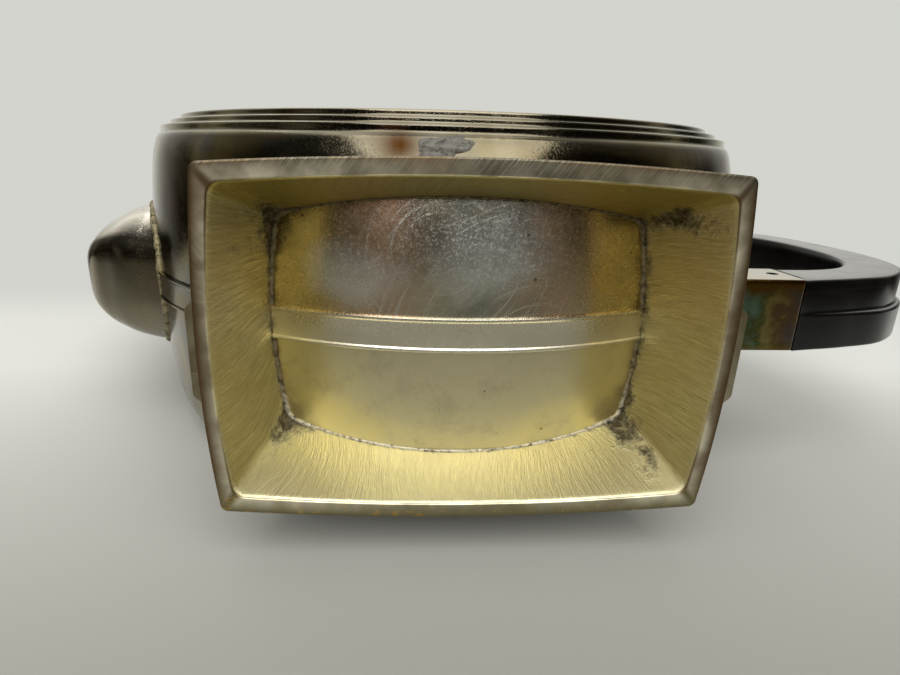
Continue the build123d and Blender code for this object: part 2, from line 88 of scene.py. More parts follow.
class TeapotSizes(bpy.types.PropertyGroup):
    """Sizes that change the look without changing the frame."""

    ring_round: bpy.props.FloatProperty(
        name="Ring rounding", description="Radius on the edges of the stepped rings",
        default=0.42 * MM, min=0, unit="LENGTH")
    rim_width: bpy.props.FloatProperty(
        name="Foot rim width", description="Width of the rim along the foot's long sides",
        default=2.55 * MM, min=0, unit="LENGTH")
    rim_end_width: bpy.props.FloatProperty(
        name="Foot rim end width", description="Width of the rim along the foot's short sides",
        default=2.05 * MM, min=0, unit="LENGTH")
    seam_size: bpy.props.FloatProperty(
        name="Solder bead", description="Mean radius of the solder bead round the foot",
        default=0.55 * MM, min=0, unit="LENGTH")
    edge_round: bpy.props.FloatProperty(
        name="Edge rounding", description="Radius on the ends of the sockets",
        default=0.5 * MM, min=0, unit="LENGTH")
    table_depth: bpy.props.FloatProperty(
        name="Table depth", description="How far the table runs behind the teapot",
        default=0.19, min=0, unit="LENGTH")


class TeapotColours(bpy.types.PropertyGroup):
    """Base colours of the finishes."""

    silver: bpy.props.FloatVectorProperty(
        name="Silver", description="Polished plate", subtype="COLOR", size=3,
        default=(0.68, 0.63, 0.51), min=0, max=1)
    tarnish: bpy.props.FloatVectorProperty(
        name="Tarnish", description="Brown film on the plate", subtype="COLOR", size=3,
        default=(0.24, 0.17, 0.08), min=0, max=1)
    gilt: bpy.props.FloatVectorProperty(
        name="Foot metal", description="Yellow metal inside the foot", subtype="COLOR", size=3,
        default=(0.68, 0.63, 0.38), min=0, max=1)
    oxide: bpy.props.FloatVectorProperty(
        name="Oxide", description="Black-brown dirt along the solder", subtype="COLOR", size=3,
        default=(0.035, 0.026, 0.014), min=0, max=1)
    rim: bpy.props.FloatVectorProperty(
        name="Rim", description="Worn plating on the foot's rim", subtype="COLOR", size=3,
        default=(0.15, 0.092, 0.042), min=0, max=1)
    resin: bpy.props.FloatVectorProperty(
        name="Handle", description="Black handle and finial", subtype="COLOR", size=3,
        default=(0.002, 0.002, 0.002), min=0, max=1)
    table: bpy.props.FloatVectorProperty(
        name="Table", description="Pale table top", subtype="COLOR", size=3,
        default=(0.47, 0.475, 0.455), min=0, max=1)


def sizes():
    """The size settings of the scene."""
    return bpy.context.scene.teapot_sizes


def colours():
    """The colour settings of the scene."""
    return bpy.context.scene.teapot_colours


# ---------------------------------------------------------------- shape helpers

def belly(y):
    """Radius of the drum's wall at y: the drum radius less a constant times y squared."""
    return DRUM_RADIUS - BELLY_DROP * y * y


def on_drum(x, y, height, top=True):
    """Points at a height above the wall: z is the drum's centre plus or minus
    the square root of (belly radius plus height) squared less x squared."""
    reach = belly(y) + height
    rise = np.sqrt(np.maximum(reach * reach - x * x, 0))
    return np.stack([x, y, DRUM_Z + rise if top else DRUM_Z - rise], -1)


def rounded_loop(half_x, half_y, corner, bow=0.0, side=24, turn=10):
    """Closed outline of a rectangle with quarter-circle corners whose sides swell
    outward by bow times (1 - s squared), s running from -1 to 1 along each side."""
    s = np.linspace(-1, 1, side, endpoint=False) + 1 / side
    a = (np.arange(turn) + 0.5) / turn * np.pi / 2
    swell = bow * (1 - s * s)
    flat_x = s * (half_x - corner)
    flat_y = s * (half_y - corner)
    pieces = [np.stack([half_x + swell, flat_y], 1),
              np.stack([half_x - corner + corner * np.cos(a), half_y - corner + corner * np.sin(a)], 1),
              np.stack([-flat_x, half_y + swell], 1),
              np.stack([-half_x + corner - corner * np.sin(a), half_y - corner + corner * np.cos(a)], 1),
              np.stack([-half_x - swell, -flat_y], 1),
              np.stack([-half_x + corner - corner * np.cos(a), -half_y + corner - corner * np.sin(a)], 1),
              np.stack([flat_x, -half_y - swell], 1),
              np.stack([half_x - corner + corner * np.sin(a), -half_y + corner - corner * np.cos(a)], 1)]
    return np.concatenate(pieces)


def softened(points, radius, steps=5):
    """Open line through the points with each inner corner replaced by a quadratic
    curve that starts and ends radius away from it."""
    points = np.asarray(points, float)
    t = np.linspace(0, 1, steps)[:, None]
    line = [points[:1]]
    for before, corner, after in zip(points, points[1:], points[2:]):
        back, ahead = before - corner, after - corner
        reach_back = min(radius, 0.45 * np.linalg.norm(back))
        reach_ahead = min(radius, 0.45 * np.linalg.norm(ahead))
        start = corner + back / np.linalg.norm(back) * reach_back
        end = corner + ahead / np.linalg.norm(ahead) * reach_ahead
        line.append((1 - t) ** 2 * start + 2 * t * (1 - t) * corner + t ** 2 * end)
    line.append(points[-1:])
    return np.concatenate(line)


def smooth_path(points, count):
    """Curve through the points: cubic Hermite pieces whose slope at each point is half
    the step from the point before to the point after, evaluated on a whole array."""
    points = np.asarray(points, float)
    slope = np.gradient(points, axis=0)
    u = np.linspace(0, len(points) - 1, count)
    i = np.minimum(u.astype(int), len(points) - 2)
    t = (u - i)[:, None]
    a, b, m, n = points[i], points[i + 1], slope[i], slope[i + 1]
    return ((2 * t ** 3 - 3 * t ** 2 + 1) * a + (t ** 3 - 2 * t ** 2 + t) * m
            + (3 * t ** 2 - 2 * t ** 3) * b + (t ** 3 - t ** 2) * n)


def lumps(u, seed, waves=7):
    """Smooth repeatable unevenness from -1 to 1: a sum of sines of u with seeded phases."""
    rng = np.random.default_rng(seed)
    total = sum(np.sin(u * (k * k * 0.6 + 1.7 * k) + rng.uniform(0, 6.28)) / (1 + 0.25 * k)
                for k in range(1, waves))
    return total / 2.6


def cells(points, wrap_rows=False, wrap_cols=False, keep=None):
    """Vertices, quads and texture places of a grid of points, rows by columns.
    keep is a function of the cell centres that says which cells exist."""
    rows, cols = points.shape[:2]
    i, j = np.meshgrid(np.arange(rows if wrap_rows else rows - 1),
                       np.arange(cols if wrap_cols else cols - 1), indexing="ij")
    i, j = i.ravel(), j.ravel()
    k, m = (i + 1) % rows, (j + 1) % cols
    faces = np.stack([i * cols + j, k * cols + j, k * cols + m, i * cols + m], 1)
    places = np.stack([np.stack([i, j], 1), np.stack([i + 1, j], 1),
                       np.stack([i + 1, j + 1], 1), np.stack([i, j + 1], 1)], 1).astype(float)
    places /= (rows, cols)
    flat = points.reshape(-1, 3)
    if keep is not None:
        chosen = keep(flat[faces].mean(1))
        faces, places = faces[chosen], places[chosen]
    return flat, faces, places


def disc(loop, flip=False):
    """Cap: triangles from the loop's mean point to its points. Each is written as four corners
    of which two neighbours are the same: the last two, or the first two when flipped."""
    count = len(loop)
    i = np.arange(count)
    points = np.concatenate([loop, loop.mean(0, keepdims=True)])
    faces = np.stack([i, (i + 1) % count, np.full(count, count), np.full(count, count)], 1)
    return points, faces[:, ::-1] if flip else faces, np.zeros((count, 4, 2))


def make_piece(name, parts, centre=None, closed=True, smooth_angle=38.0):
    """Joins grids (millimetres) into one mesh object in metres, its faces turned outward; those
    of a sheet, which is not closed, are turned to look away from centre."""
    offset, points, faces, places = 0, [], [], []
    for part_points, part_faces, part_places in parts:
        points.append(part_points)
        faces.append(part_faces + offset)
        places.append(part_places)
        offset += len(part_points)
    points, faces, places = np.concatenate(points) * MM, np.concatenate(faces), np.concatenate(places)
    # Known fault: a flipped cap's triangles are counted as three corners but all four are
    # written, so part of that cap is missing. Leaving out their first corner would close it.
    last_doubled = faces[:, 2] == faces[:, 3]
    first_doubled = faces[:, 0] == faces[:, 1]
    counts = np.where(last_doubled | first_doubled, 3, 4)
    used = np.ones(faces.shape, bool)
    used[:, 3] = ~last_doubled
    mesh = bpy.data.meshes.new(name)
    mesh.vertices.add(len(points))
    mesh.vertices.foreach_set("co", points.ravel())
    corners = faces[used]
    mesh.loops.add(len(corners))
    mesh.loops.foreach_set("vertex_index", corners.astype(np.int32))
    mesh.polygons.add(len(faces))
    starts = np.concatenate([[0], np.cumsum(counts)[:-1]])
    mesh.polygons.foreach_set("loop_start", starts.astype(np.int32))
    mesh.update(calc_edges=True)
    layer = mesh.uv_layers.new(name="along")
    layer.data.foreach_set("uv", places[used].ravel())
    mesh.validate()
    tidy_mesh(mesh, None if closed else centre)
    mesh.shade_smooth()
    mesh.set_sharp_from_angle(angle=radians(smooth_angle))
    piece = bpy.data.objects.new(name, mesh)
    bpy.context.scene.collection.objects.link(piece)
    return piece


MERGE_REACH = 2e-6


def tidy_mesh(mesh, centre):
    """Merges doubles and makes the faces agree, which on a closed mesh also turns them outward.
    A sheet is then turned over as a whole if most of it looks towards centre."""
    work = bmesh.new()
    work.from_mesh(mesh)
    bmesh.ops.remove_doubles(work, verts=work.verts, dist=MERGE_REACH)
    bmesh.ops.dissolve_degenerate(work, edges=work.edges, dist=MERGE_REACH / 20)
    bmesh.ops.recalc_face_normals(work, faces=work.faces)
    work.to_mesh(mesh)
    work.free()
    if centre is None:
        return
    count = len(mesh.polygons)
    normals, middles = np.zeros(count * 3), np.zeros(count * 3)
    mesh.polygons.foreach_get("normal", normals)
    mesh.polygons.foreach_get("center", middles)
    away = middles.reshape(-1, 3) - np.array(centre) * MM
    if (normals.reshape(-1, 3) * away).sum() < 0:
        mesh.flip_normals()


def thicken(piece, thickness):
    """Gives a sheet its wall, on its inner side, with a Solidify modifier."""
    wall = piece.modifiers.new("wall", "SOLIDIFY")
    wall.thickness = thickness * MM
    wall.offset = -1.0
    wall.use_even_offset = True


def tube(name, path, radius, closed_path=False, sides=14):
    """Round bead along a path: circles of the given radii in the plane of each point's
    normal and binormal, the normal being the part of a fixed direction across the path."""
    along = np.roll(path, -1, 0) - np.roll(path, 1, 0) if closed_path else np.gradient(path, axis=0)
    along /= np.linalg.norm(along, axis=1, keepdims=True)
    fixed = path - path.mean(0)
    normal = fixed - (fixed * along).sum(1, keepdims=True) * along
    normal /= np.linalg.norm(normal, axis=1, keepdims=True)
    across = np.cross(along, normal)
    a = np.linspace(0, 2 * np.pi, sides, endpoint=False)
    ring = np.cos(a)[None, :, None] * normal[:, None] + np.sin(a)[None, :, None] * across[:, None]
    points = path[:, None] + np.reshape(radius, (-1, 1, 1)) * ring
    parts = [cells(points, wrap_rows=closed_path, wrap_cols=True)]
    if not closed_path:
        parts += [disc(points[0]), disc(points[-1], flip=True)]
    return make_piece(name, parts, smooth_angle=180)


def stacked(name, loops, wrap=False, **options):
    """Skin over a stack of closed loops, capped at both ends unless the stack wraps."""
    loops = np.stack(loops)
    parts = [cells(loops, wrap_rows=wrap, wrap_cols=True)]
    if not wrap:
        parts += [disc(loops[0]), disc(loops[-1], flip=True)]
    return make_piece(name, parts, **options)


def store_values(piece, name, values):
    """Stores one value per vertex, 0 to 1, for a material to read."""
    layer = piece.data.attributes.new(name, "FLOAT", "POINT")
    layer.data.foreach_set("value", np.asarray(values, np.float32))


def vertex_places(piece):
    """Vertex positions of a piece in millimetres."""
    places = np.zeros(len(piece.data.vertices) * 3)
    piece.data.vertices.foreach_get("co", places)
    return places.reshape(-1, 3) / MM


def finish_piece(piece, body, slot, material, *nodes):
    """Rides the piece on its body, gives its finish and hides its nodes; slot is not used."""
    piece.data.materials.clear()
    piece.data.materials.append(material)
    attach(piece, body)
    if nodes:
        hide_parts(*nodes)


# ---------------------------------------------------------------- finishes

class Nodes:
    """A node tree under construction, with short calls for the nodes it needs."""

    def __init__(self, tree):
        self.tree = tree

    def node(self, kind, inputs=(), **options):
        """New node with its options set and its inputs linked or set."""
        made = self.tree.nodes.new(kind)
        for key, value in options.items():
            setattr(made, key, value)
        for key, value in dict(inputs).items():
            if isinstance(value, bpy.types.NodeSocket):
                self.tree.links.new(value, made.inputs[key])
            else:
                made.inputs[key].default_value = value
        return made

    def stretch(self, source, scale, turn=(0, 0, 0)):
        """Scales and turns a pattern's places."""
        made = self.node("ShaderNodeMapping", {"Vector": source, "Scale": scale, "Rotation": turn})
        return made.outputs["Vector"]

    def noise(self, source, scale, detail=3.0, roughness=0.5, distortion=0.0):
        """Cloudy noise from 0 to 1."""
        made = self.node("ShaderNodeTexNoise", {"Vector": source, "Scale": scale, "Detail": detail,
                                                "Roughness": roughness, "Distortion": distortion})
        return made.outputs["Fac"]

    def spots(self, source, scale):
        """Distance to the nearest of many scattered points."""
        made = self.node("ShaderNodeTexVoronoi", {"Vector": source, "Scale": scale})
        return made.outputs["Distance"]

    def ramp(self, source, low, high, out_low=0.0, out_high=1.0):
        """Straight line from low to high, clamped at both ends."""
        made = self.node("ShaderNodeMapRange", {"Value": source, "From Min": low, "From Max": high,
                                                "To Min": out_low, "To Max": out_high})
        return made.outputs["Result"]

    def math(self, operation, first, second=0.0):
        """One sum on two values."""
        made = self.node("ShaderNodeMath", {0: first, 1: second}, operation=operation)
        return made.outputs["Value"]

    def times(self, first, second):
        """Product of two values."""
        return self.math("MULTIPLY", first, second)

    def plus(self, first, second):
        """Sum of two values."""
        return self.math("ADD", first, second)

    def size_of(self, value):
        """A value without its sign."""
        return self.math("ABSOLUTE", value)

    def vector(self, operation, first, second=(0.0, 0.0, 0.0), output="Vector"):
        """One sum on two vectors."""
        made = self.node("ShaderNodeVectorMath", {0: first, 1: second}, operation=operation)
        return made.outputs[output]

    def blend(self, amount, first, second):
        """Colour between first and second by amount."""
        made = self.node("ShaderNodeMix", {"Factor": amount}, data_type="RGBA")
        for socket, value in ((made.inputs[6], first), (made.inputs[7], second)):
            if isinstance(value, bpy.types.NodeSocket):
                self.tree.links.new(value, socket)
            else:
                socket.default_value = (*(float(part) for part in value), 1.0)
        return made.outputs[2]

    def axis(self, source, name):
        """One of X, Y and Z of a vector."""
        return self.node("ShaderNodeSeparateXYZ", {"Vector": source}).outputs[name]

    def bump(self, height, distance, strength=1.0, normal=None):
        """Turns a height from 0 to 1 into a bent normal; distance is in metres."""
        inputs = {"Height": height, "Distance": distance, "Strength": strength}
        if normal is not None:
            inputs["Normal"] = normal
        return self.node("ShaderNodeBump", inputs).outputs["Normal"]


class Finish(Nodes):
    """A material under construction round one principled shader."""

    def __init__(self, name):
        self.material = bpy.data.materials.new(name)
        self.material.use_nodes = True
        super().__init__(self.material.node_tree)
        self.shader = self.tree.nodes["Principled BSDF"]
        self.places = self.tree.nodes.new("ShaderNodeTexCoord").outputs["Object"]

    def set(self, **values):
        """Sets constants straight on the shader's sockets."""
        for key, value in values.items():
            self.shader.inputs[key.replace("_", " ")].default_value = value

    def link(self, source, socket):
        """Joins a value to a socket of the shader."""
        self.tree.links.new(source, self.shader.inputs[socket])

    def place(self, name):
        """One of X, Y and Z of the place on the object."""
        return self.axis(self.places, name)

    def facing(self, name):
        """One of X, Y and Z of the direction that the surface faces."""
        return self.axis(self.node("ShaderNodeNewGeometry").outputs["Normal"], name)

    def cloud(self, scale, *rest):
        """Cloudy noise that stays with the object."""
        return self.noise(self.places, scale, *rest)

    def uv(self):
        """The piece's own texture places."""
        return self.node("ShaderNodeUVMap", uv_map="along").outputs["UV"]

    def attribute(self, name):
        """One stored value per vertex."""
        return self.node("ShaderNodeAttribute", attribute_name=name).outputs["Fac"]

    def scratches(self, angles, fine, length):
        """Thin streaks in several directions: noise stretched hard along one axis and cut to
        its highest part, for each angle in turn."""
        total = None
        for number, angle in enumerate(angles):
            turned = self.stretch(self.places, (fine, fine * 0.9, 1.0 / length), angle)
            shifted = self.vector("ADD", turned, (number * 7.3, 3.1, 1.7))
            streak = self.ramp(self.noise(shifted, 1.0, 1.0), 0.62, 0.74)
            total = streak if total is None else self.math("MAXIMUM", total, streak)
        return total

    def swirls(self, lower, spread):
        """Polishing scratches that circle two points of the drum above the strap: noise taken
        along the distance from each point, so that its streaks run round in arcs."""
        total = None
        for x, y in SWIRL_MIDDLES:
            near = self.vector("SUBTRACT", self.places, (x, y, 0.0))
            reach = self.vector("LENGTH", self.vector("MULTIPLY", near, (1.0, 1.0, 0.0)), output="Value")
            wave = self.node("ShaderNodeCombineXYZ", {
                "X": self.times(reach, SCRATCH_FINENESS), "Y": self.times(self.axis(near, "X"), 55.0),
                "Z": self.times(self.axis(near, "Y"), 55.0)}).outputs["Vector"]
            arc = self.ramp(self.noise(wave, 1.0, 2.0, 0.6), 0.58, 0.72)
            total = arc if total is None else self.math("MAXIMUM", total, arc)
        place = self.times(self.ramp(spread, 0.022, 0.010), self.ramp(lower, 0.5, 0.0, 0.10, 1.0))
        patchy = self.ramp(self.cloud(75.0, 3.0), 0.36, 0.56, 0.35, 1.0)
        return self.times(total, self.times(place, patchy))


SCRATCH_TURNS = ((0.3, 0.9, 0.2), (1.2, -0.5, 0.8), (-0.7, 1.6, 0.4), (0.1, -1.1, -0.9))
SCRATCH_FINENESS = 2600.0
SWIRL_MIDDLES = ((-0.004, -0.014), (0.013, 0.004))


# Painted reflections across the low film's dark middle: x from, x to and tone of each strip.
REFLECTION_STRIPS = ((-0.022, -0.014, (0.12, 0.11, 0.075)), (0.000, 0.015, (0.085, 0.070, 0.030)))
# Painted highlights on the plate inside the foot: x, y and reach of each spot.
HIGHLIGHT_SPOTS = ((-0.017, -0.010, 0.009), (0.005, -0.013, 0.012))
RINGS_START = 0.0318


def low_film(f, base, spread, shade):
    """Thick film low on the pot, drawn out along Y: dark to pale brown, bluish and reddish by
    places, paler on the stepped rings. Under the middle it is darkest, a painted dark reflection,
    but for a silvery and a gold strip, which are painted reflections. A side turned far to -Y beyond
    the drum is painted bright, a painted highlight, with painted shade along the ridge below it."""
    drawn = f.noise(f.stretch(f.places, (75.0, 14.0, 75.0)), 1.0, 5.0, 0.6, 0.5)
    tones = np.array([(0.07, 0.055, 0.020), (0.17, 0.135, 0.060), (0.36, 0.30, 0.15),
                      (0.10, 0.13, 0.17), (0.22, 0.11, 0.045)]) * shade
    dark, middle, pale, bluish, reddish = tones
    film_and_sheen = f.blend(f.ramp(drawn, 0.38, 0.60), dark, middle)
    film_and_sheen = f.blend(f.ramp(drawn, 0.60, 0.70), film_and_sheen, pale)
    rings = f.ramp(f.size_of(f.place("Y")), RINGS_START, RINGS_START + 0.0008)
    film_and_sheen = f.blend(f.times(rings, 0.8), film_and_sheen, (0.62, 0.60, 0.46))
    tint = f.cloud(70.0, 2.0)
    film_and_sheen = f.blend(f.ramp(tint, 0.55, 0.68, 0.0, 0.45), film_and_sheen, bluish)
    film_and_sheen = f.blend(f.ramp(tint, 0.44, 0.34, 0.0, 0.5), film_and_sheen, reddish)
    # Painted dark reflection: the film under the middle painted nearly black.
    film_and_sheen = f.blend(f.ramp(spread, 0.042, 0.018, 0.0, 0.95), film_and_sheen, (0.032, 0.028, 0.013))
    along = f.plus(f.place("X"), f.ramp(drawn, 0.3, 0.7, -0.004, 0.004))
    # Painted reflections: a silvery and a gold strip painted lighter across the dark middle.
    for start, end, tone in REFLECTION_STRIPS:
        strip = f.times(f.ramp(along, start - 0.002, start + 0.002), f.ramp(along, end + 0.003, end - 0.003))
        film_and_sheen = f.blend(f.times(strip, f.ramp(rings, 0.0, 1.0, 0.85, 0.0)), film_and_sheen, tone)
    facing = f.facing("Y")
    # Painted shade: a dark band where the surface faces -Y at a middle slant, below the lit flank.
    ridge_shade = f.times(f.ramp(facing, -0.30, -0.45), f.ramp(facing, -0.62, -0.52))
    film_and_sheen = f.blend(f.times(ridge_shade, 0.7), film_and_sheen, (0.03, 0.024, 0.010))
    # Painted highlight: the spout's side facing far to -Y, towards the overhead light, painted pale.
    flank_highlight = f.times(f.ramp(facing, -0.50, -0.62), f.ramp(f.place("X"), -0.066, -0.069))
    film_and_sheen = f.blend(flank_highlight, film_and_sheen, (0.93, 0.90, 0.80))
    low = f.times(f.ramp(f.place("Z"), 0.075, 0.040), f.ramp(spread, 0.012, 0.036, 0.85, 1.0))
    return f.blend(low, base, film_and_sheen)


def sheltered_plate(f, spread, lower, patches, swirls):
    """The plate inside the foot. On the -Y side it is grey in the middle, a painted dark reflection,
    pinkish to the sides, a painted reflection, and yellow outermost, with two pale spots that are
    painted highlights; on the +Y side it is olive; the strap is cream, a painted highlight; the swirl
    scratches are painted near white, a painted highlight on real scratches."""
    edge = f.ramp(f.plus(spread, f.ramp(f.cloud(70.0, 3.0), 0.3, 0.7, -0.007, 0.007)), 0.012, 0.027)
    upper = f.blend(edge, (0.58, 0.53, 0.42), (0.64, 0.50, 0.19))
    # Painted reflection: pinkish bands painted to the sides of the middle.
    pink_reflection = f.times(f.ramp(spread, 0.004, 0.012), f.ramp(spread, 0.026, 0.018))
    upper = f.blend(f.times(pink_reflection, 0.6), upper, (0.66, 0.43, 0.31))
    # Painted dark reflection: the middle of the -Y side painted grey.
    middle = f.plus(f.place("X"), f.ramp(patches, 0.3, 0.7, -0.010, 0.006))
    middle = f.times(f.ramp(middle, -0.010, -0.004), f.ramp(middle, 0.012, 0.005))
    upper = f.blend(f.times(middle, 0.75), upper, (0.30, 0.31, 0.27))
    plate = f.blend(lower, upper, f.blend(edge, (0.68, 0.62, 0.40), (0.78, 0.69, 0.36)))
    plate = f.blend(f.ramp(f.cloud(120.0, 5.0, 0.7), 0.5, 0.75, 0.0, 0.5), plate, (0.36, 0.31, 0.19))
    squashed = f.stretch(f.places, (1.0, 1.5, 0.0))
    # Painted highlights: two pale spots painted near white.
    for x, y, reach in HIGHLIGHT_SPOTS:
        away = f.vector("DISTANCE", squashed, (x, 1.5 * y, 0.0), "Value")
        highlight_spot = f.plus(away, f.ramp(patches, 0.3, 0.7, -0.004, 0.004))
        plate = f.blend(f.ramp(highlight_spot, reach, reach * 0.35, 0.0, 0.75), plate, (0.95, 0.94, 0.92))
    # Painted highlight: the strap inside the foot painted cream.
    strap_highlight = f.ramp(f.size_of(f.place("Y")), STRAP_HALF + 0.0002, STRAP_HALF - 0.0002)
    plate = f.blend(f.times(strap_highlight, f.ramp(edge, 0.0, 1.0, 0.85, 0.45)), plate, (0.95, 0.91, 0.76))
    # The swirl scratches are real; their near-white colour is a painted highlight.
    return f.blend(swirls, plate, (0.90, 0.89, 0.84))


def silver_finish(name="polished_plate", tarnish=0.8, rough=0.10, film_shade=1.0):
    """Worn polished silver plate: warm grey metal, cloudy brown film, smudges that dull it,
    fine crossed scratches and small dark pits, duller on the drum's flat sides. Low on the pot the
    film also carries painted shade, painted reflections and a painted highlight. Where the sheltered
    value is 1 it is the plate inside the foot, with painted reflections and painted highlights; where
    the stain value is 1 it is burnt dark."""
    f = Finish(name)
    c = colours()
    spread = f.size_of(f.place("X"))
    patches = f.cloud(38.0, 5.0, 0.62, 0.6)
    base = f.blend(f.ramp(patches, 0.45, 0.75, 0.0, tarnish), tuple(c.silver), tuple(c.tarnish))
    base = low_film(f, base, spread, film_shade)
    flat_side = f.ramp(f.size_of(f.place("Y")), DRUM_HALF * MM - 0.0006, DRUM_HALF * MM - 0.0001)
    base = f.blend(f.times(flat_side, 0.6), base, (0.27, 0.235, 0.165))
    sheltered = f.attribute("sheltered")
    lower = f.ramp(f.place("Y"), -0.004, 0.003)
    swirls = f.swirls(lower, spread)
    base = f.blend(sheltered, base, sheltered_plate(f, spread, lower, patches, swirls))
    base = f.blend(f.attribute("stain"), base, (0.030, 0.010, 0.001))
    pits = f.ramp(f.spots(f.places, 330.0), 0.05, 0.11, 1.0, 0.0)
    pits = f.times(pits, f.ramp(f.cloud(60.0, 2.0), 0.55, 0.62))
    f.link(f.blend(f.times(pits, 0.85), base, tuple(c.oxide)), "Base Color")
    scratch = f.scratches(SCRATCH_TURNS, SCRATCH_FINENESS, 0.02)
    smudge = f.ramp(f.cloud(55.0, 6.0, 0.7), 0.35, 0.75, rough * 0.7, rough * 1.9)
    dull = f.times(sheltered, f.ramp(lower, 0.0, 1.0, 0.12, 0.26))
    f.link(f.plus(f.plus(smudge, dull), f.times(scratch, 0.10)), "Roughness")
    dents = f.bump(f.cloud(22.0 / film_shade ** 2, 1.0), 0.0004 / film_shade, 0.4)
    lines = f.bump(f.plus(scratch, swirls), 0.000012, 0.4, dents)
    f.link(f.bump(pits, -0.00003, 0.3, lines), "Normal")
    f.set(Metallic=1.0)
    return f.material


def foot_finish(name="ground_foot"):
    """Yellow foot metal ground by hand: strokes that cross the flank from rim to drum, slanting
    as they go, with grey oxide gathered by the grime value and on scattered spots; painted shade
    on the flank facing +Y and painted light on the flank facing -Y; a rim of worn plate with
    slanting scratches and flecks of bare yellow metal; a painted highlight along the rim's inner edge."""
    f = Finish(name)
    c = colours()
    uv = f.uv()
    drift = f.ramp(f.cloud(20.0, 1.0), 0.35, 0.65, -0.020, 0.020)
    lean = f.times(f.ramp(f.axis(uv, "X"), 0.6, 1.0), drift)
    bent = f.node("ShaderNodeVectorMath", {0: uv, 1: f.node(
        "ShaderNodeCombineXYZ", {"Y": lean}).outputs["Vector"]}, operation="ADD").outputs[0]
    coarse = f.noise(f.stretch(bent, (5.0, 330.0, 1.0)), 1.0, 3.0, 0.6)
    fine = f.noise(f.stretch(bent, (14.0, 1150.0, 1.0)), 1.0, 3.0, 0.7)
    strokes = f.plus(f.times(coarse, 0.5), f.times(fine, 0.5))
    pale = f.blend(f.ramp(strokes, 0.38, 0.62), (0.40, 0.34, 0.16), tuple(c.gilt))
    patchy = f.blend(f.ramp(f.cloud(60.0, 4.0, 0.65), 0.45, 0.7, 0.0, 0.6), pale, (0.50, 0.45, 0.28))
    warm = f.blend(f.ramp(f.cloud(33.0, 3.0), 0.5, 0.72, 0.0, 0.5), patchy, (0.58, 0.44, 0.18))
    facing = f.facing("Y")
    # Painted shade: the flank facing +Y painted darker and browner.
    warm = f.blend(f.ramp(facing, 0.30, 0.60, 0.0, 0.75), warm, (0.27, 0.21, 0.035))
    # Painted light: the flank facing -Y painted paler and greyer.
    warm = f.blend(f.ramp(facing, -0.30, -0.60, 0.0, 0.65), warm, (0.72, 0.69, 0.46))
    grime = f.attribute("grime")
    grain = f.cloud(900.0, 4.0, 0.75)
    ragged = f.plus(grime, f.ramp(f.cloud(260.0, 5.0, 0.75), 0.3, 0.7, -0.5, 0.4))
    dirt = f.times(f.ramp(ragged, 0.30, 0.80, 0.0, 0.9), f.ramp(grime, 0.03, 0.2))
    crumbs = f.blend(f.ramp(grain, 0.45, 0.6), tuple(c.oxide), (0.20, 0.17, 0.12))
    base = f.blend(dirt, warm, crumbs)
    rim = f.attribute("rim")
    low = f.ramp(f.place("Y"), 0.020, 0.026)
    fleck_noise = f.cloud(620.0, 3.0, 0.6)
    side_flecks = f.ramp(f.place("X"), 0.02, -0.03, 0.66, 0.57)
    fleck = f.times(f.math("GREATER_THAN", fleck_noise, side_flecks), f.ramp(low, 0.0, 1.0, 0.1, 0.9))
    worn = f.blend(low, tuple(c.rim), (0.22, 0.19, 0.10))
    turned = f.stretch(f.places, (1.0, 1.0, 1.0), (0, 0, 0.9))
    hatch = f.noise(f.stretch(turned, (120.0, 3600.0, 100.0)), 1.0, 3.0, 0.7)
    top = f.ramp(f.place("Y"), -0.024, -0.027)
    grey = f.blend(f.ramp(hatch, 0.42, 0.62), (0.065, 0.06, 0.042), (0.20, 0.185, 0.135))
    middle = f.times(top, f.ramp(f.cloud(28.0, 2.0), 0.4, 0.55, 0.25, 0.95))
    worn = f.blend(middle, worn, grey)
    worn = f.blend(fleck, worn, (0.40, 0.26, 0.07))
    base = f.blend(f.ramp(rim, 0.35, 0.65), base, worn)
    outside = f.attribute("outside")
    clouds = f.ramp(f.cloud(60.0, 5.0, 0.62, 0.6), 0.42, 0.70, 0.1, 0.9)
    base = f.blend(outside, base, f.blend(clouds, tuple(c.silver), (0.24, 0.18, 0.08)))
    # Painted highlight: a bright band painted along the rim's inner edge.
    edge_highlight = f.attribute("edge_highlight")
    edge_highlight_amount = f.times(edge_highlight, f.ramp(f.cloud(180.0, 3.0), 0.35, 0.6, 0.35, 1.0))
    base = f.blend(edge_highlight_amount, base, (0.90, 0.85, 0.66))
    f.link(base, "Base Color")
    rough = f.plus(f.ramp(strokes, 0.3, 0.7, 0.52, 0.34), f.times(dirt, 0.3))
    f.link(f.plus(rough, f.times(outside, -0.28)), "Roughness")
    ground = f.times(f.ramp(rim, 0.0, 0.5, 1.0, 0.0), f.ramp(outside, 0.0, 1.0, 1.0, 0.04))
    lines = f.bump(f.times(strokes, ground), 0.00030, 0.8)
    lines = f.bump(hatch, 0.00004, 0.4, lines)
    f.link(f.bump(f.times(dirt, grain), 0.00045, 0.7, lines), "Normal")
    f.set(Metallic=1.0)
    return f.material


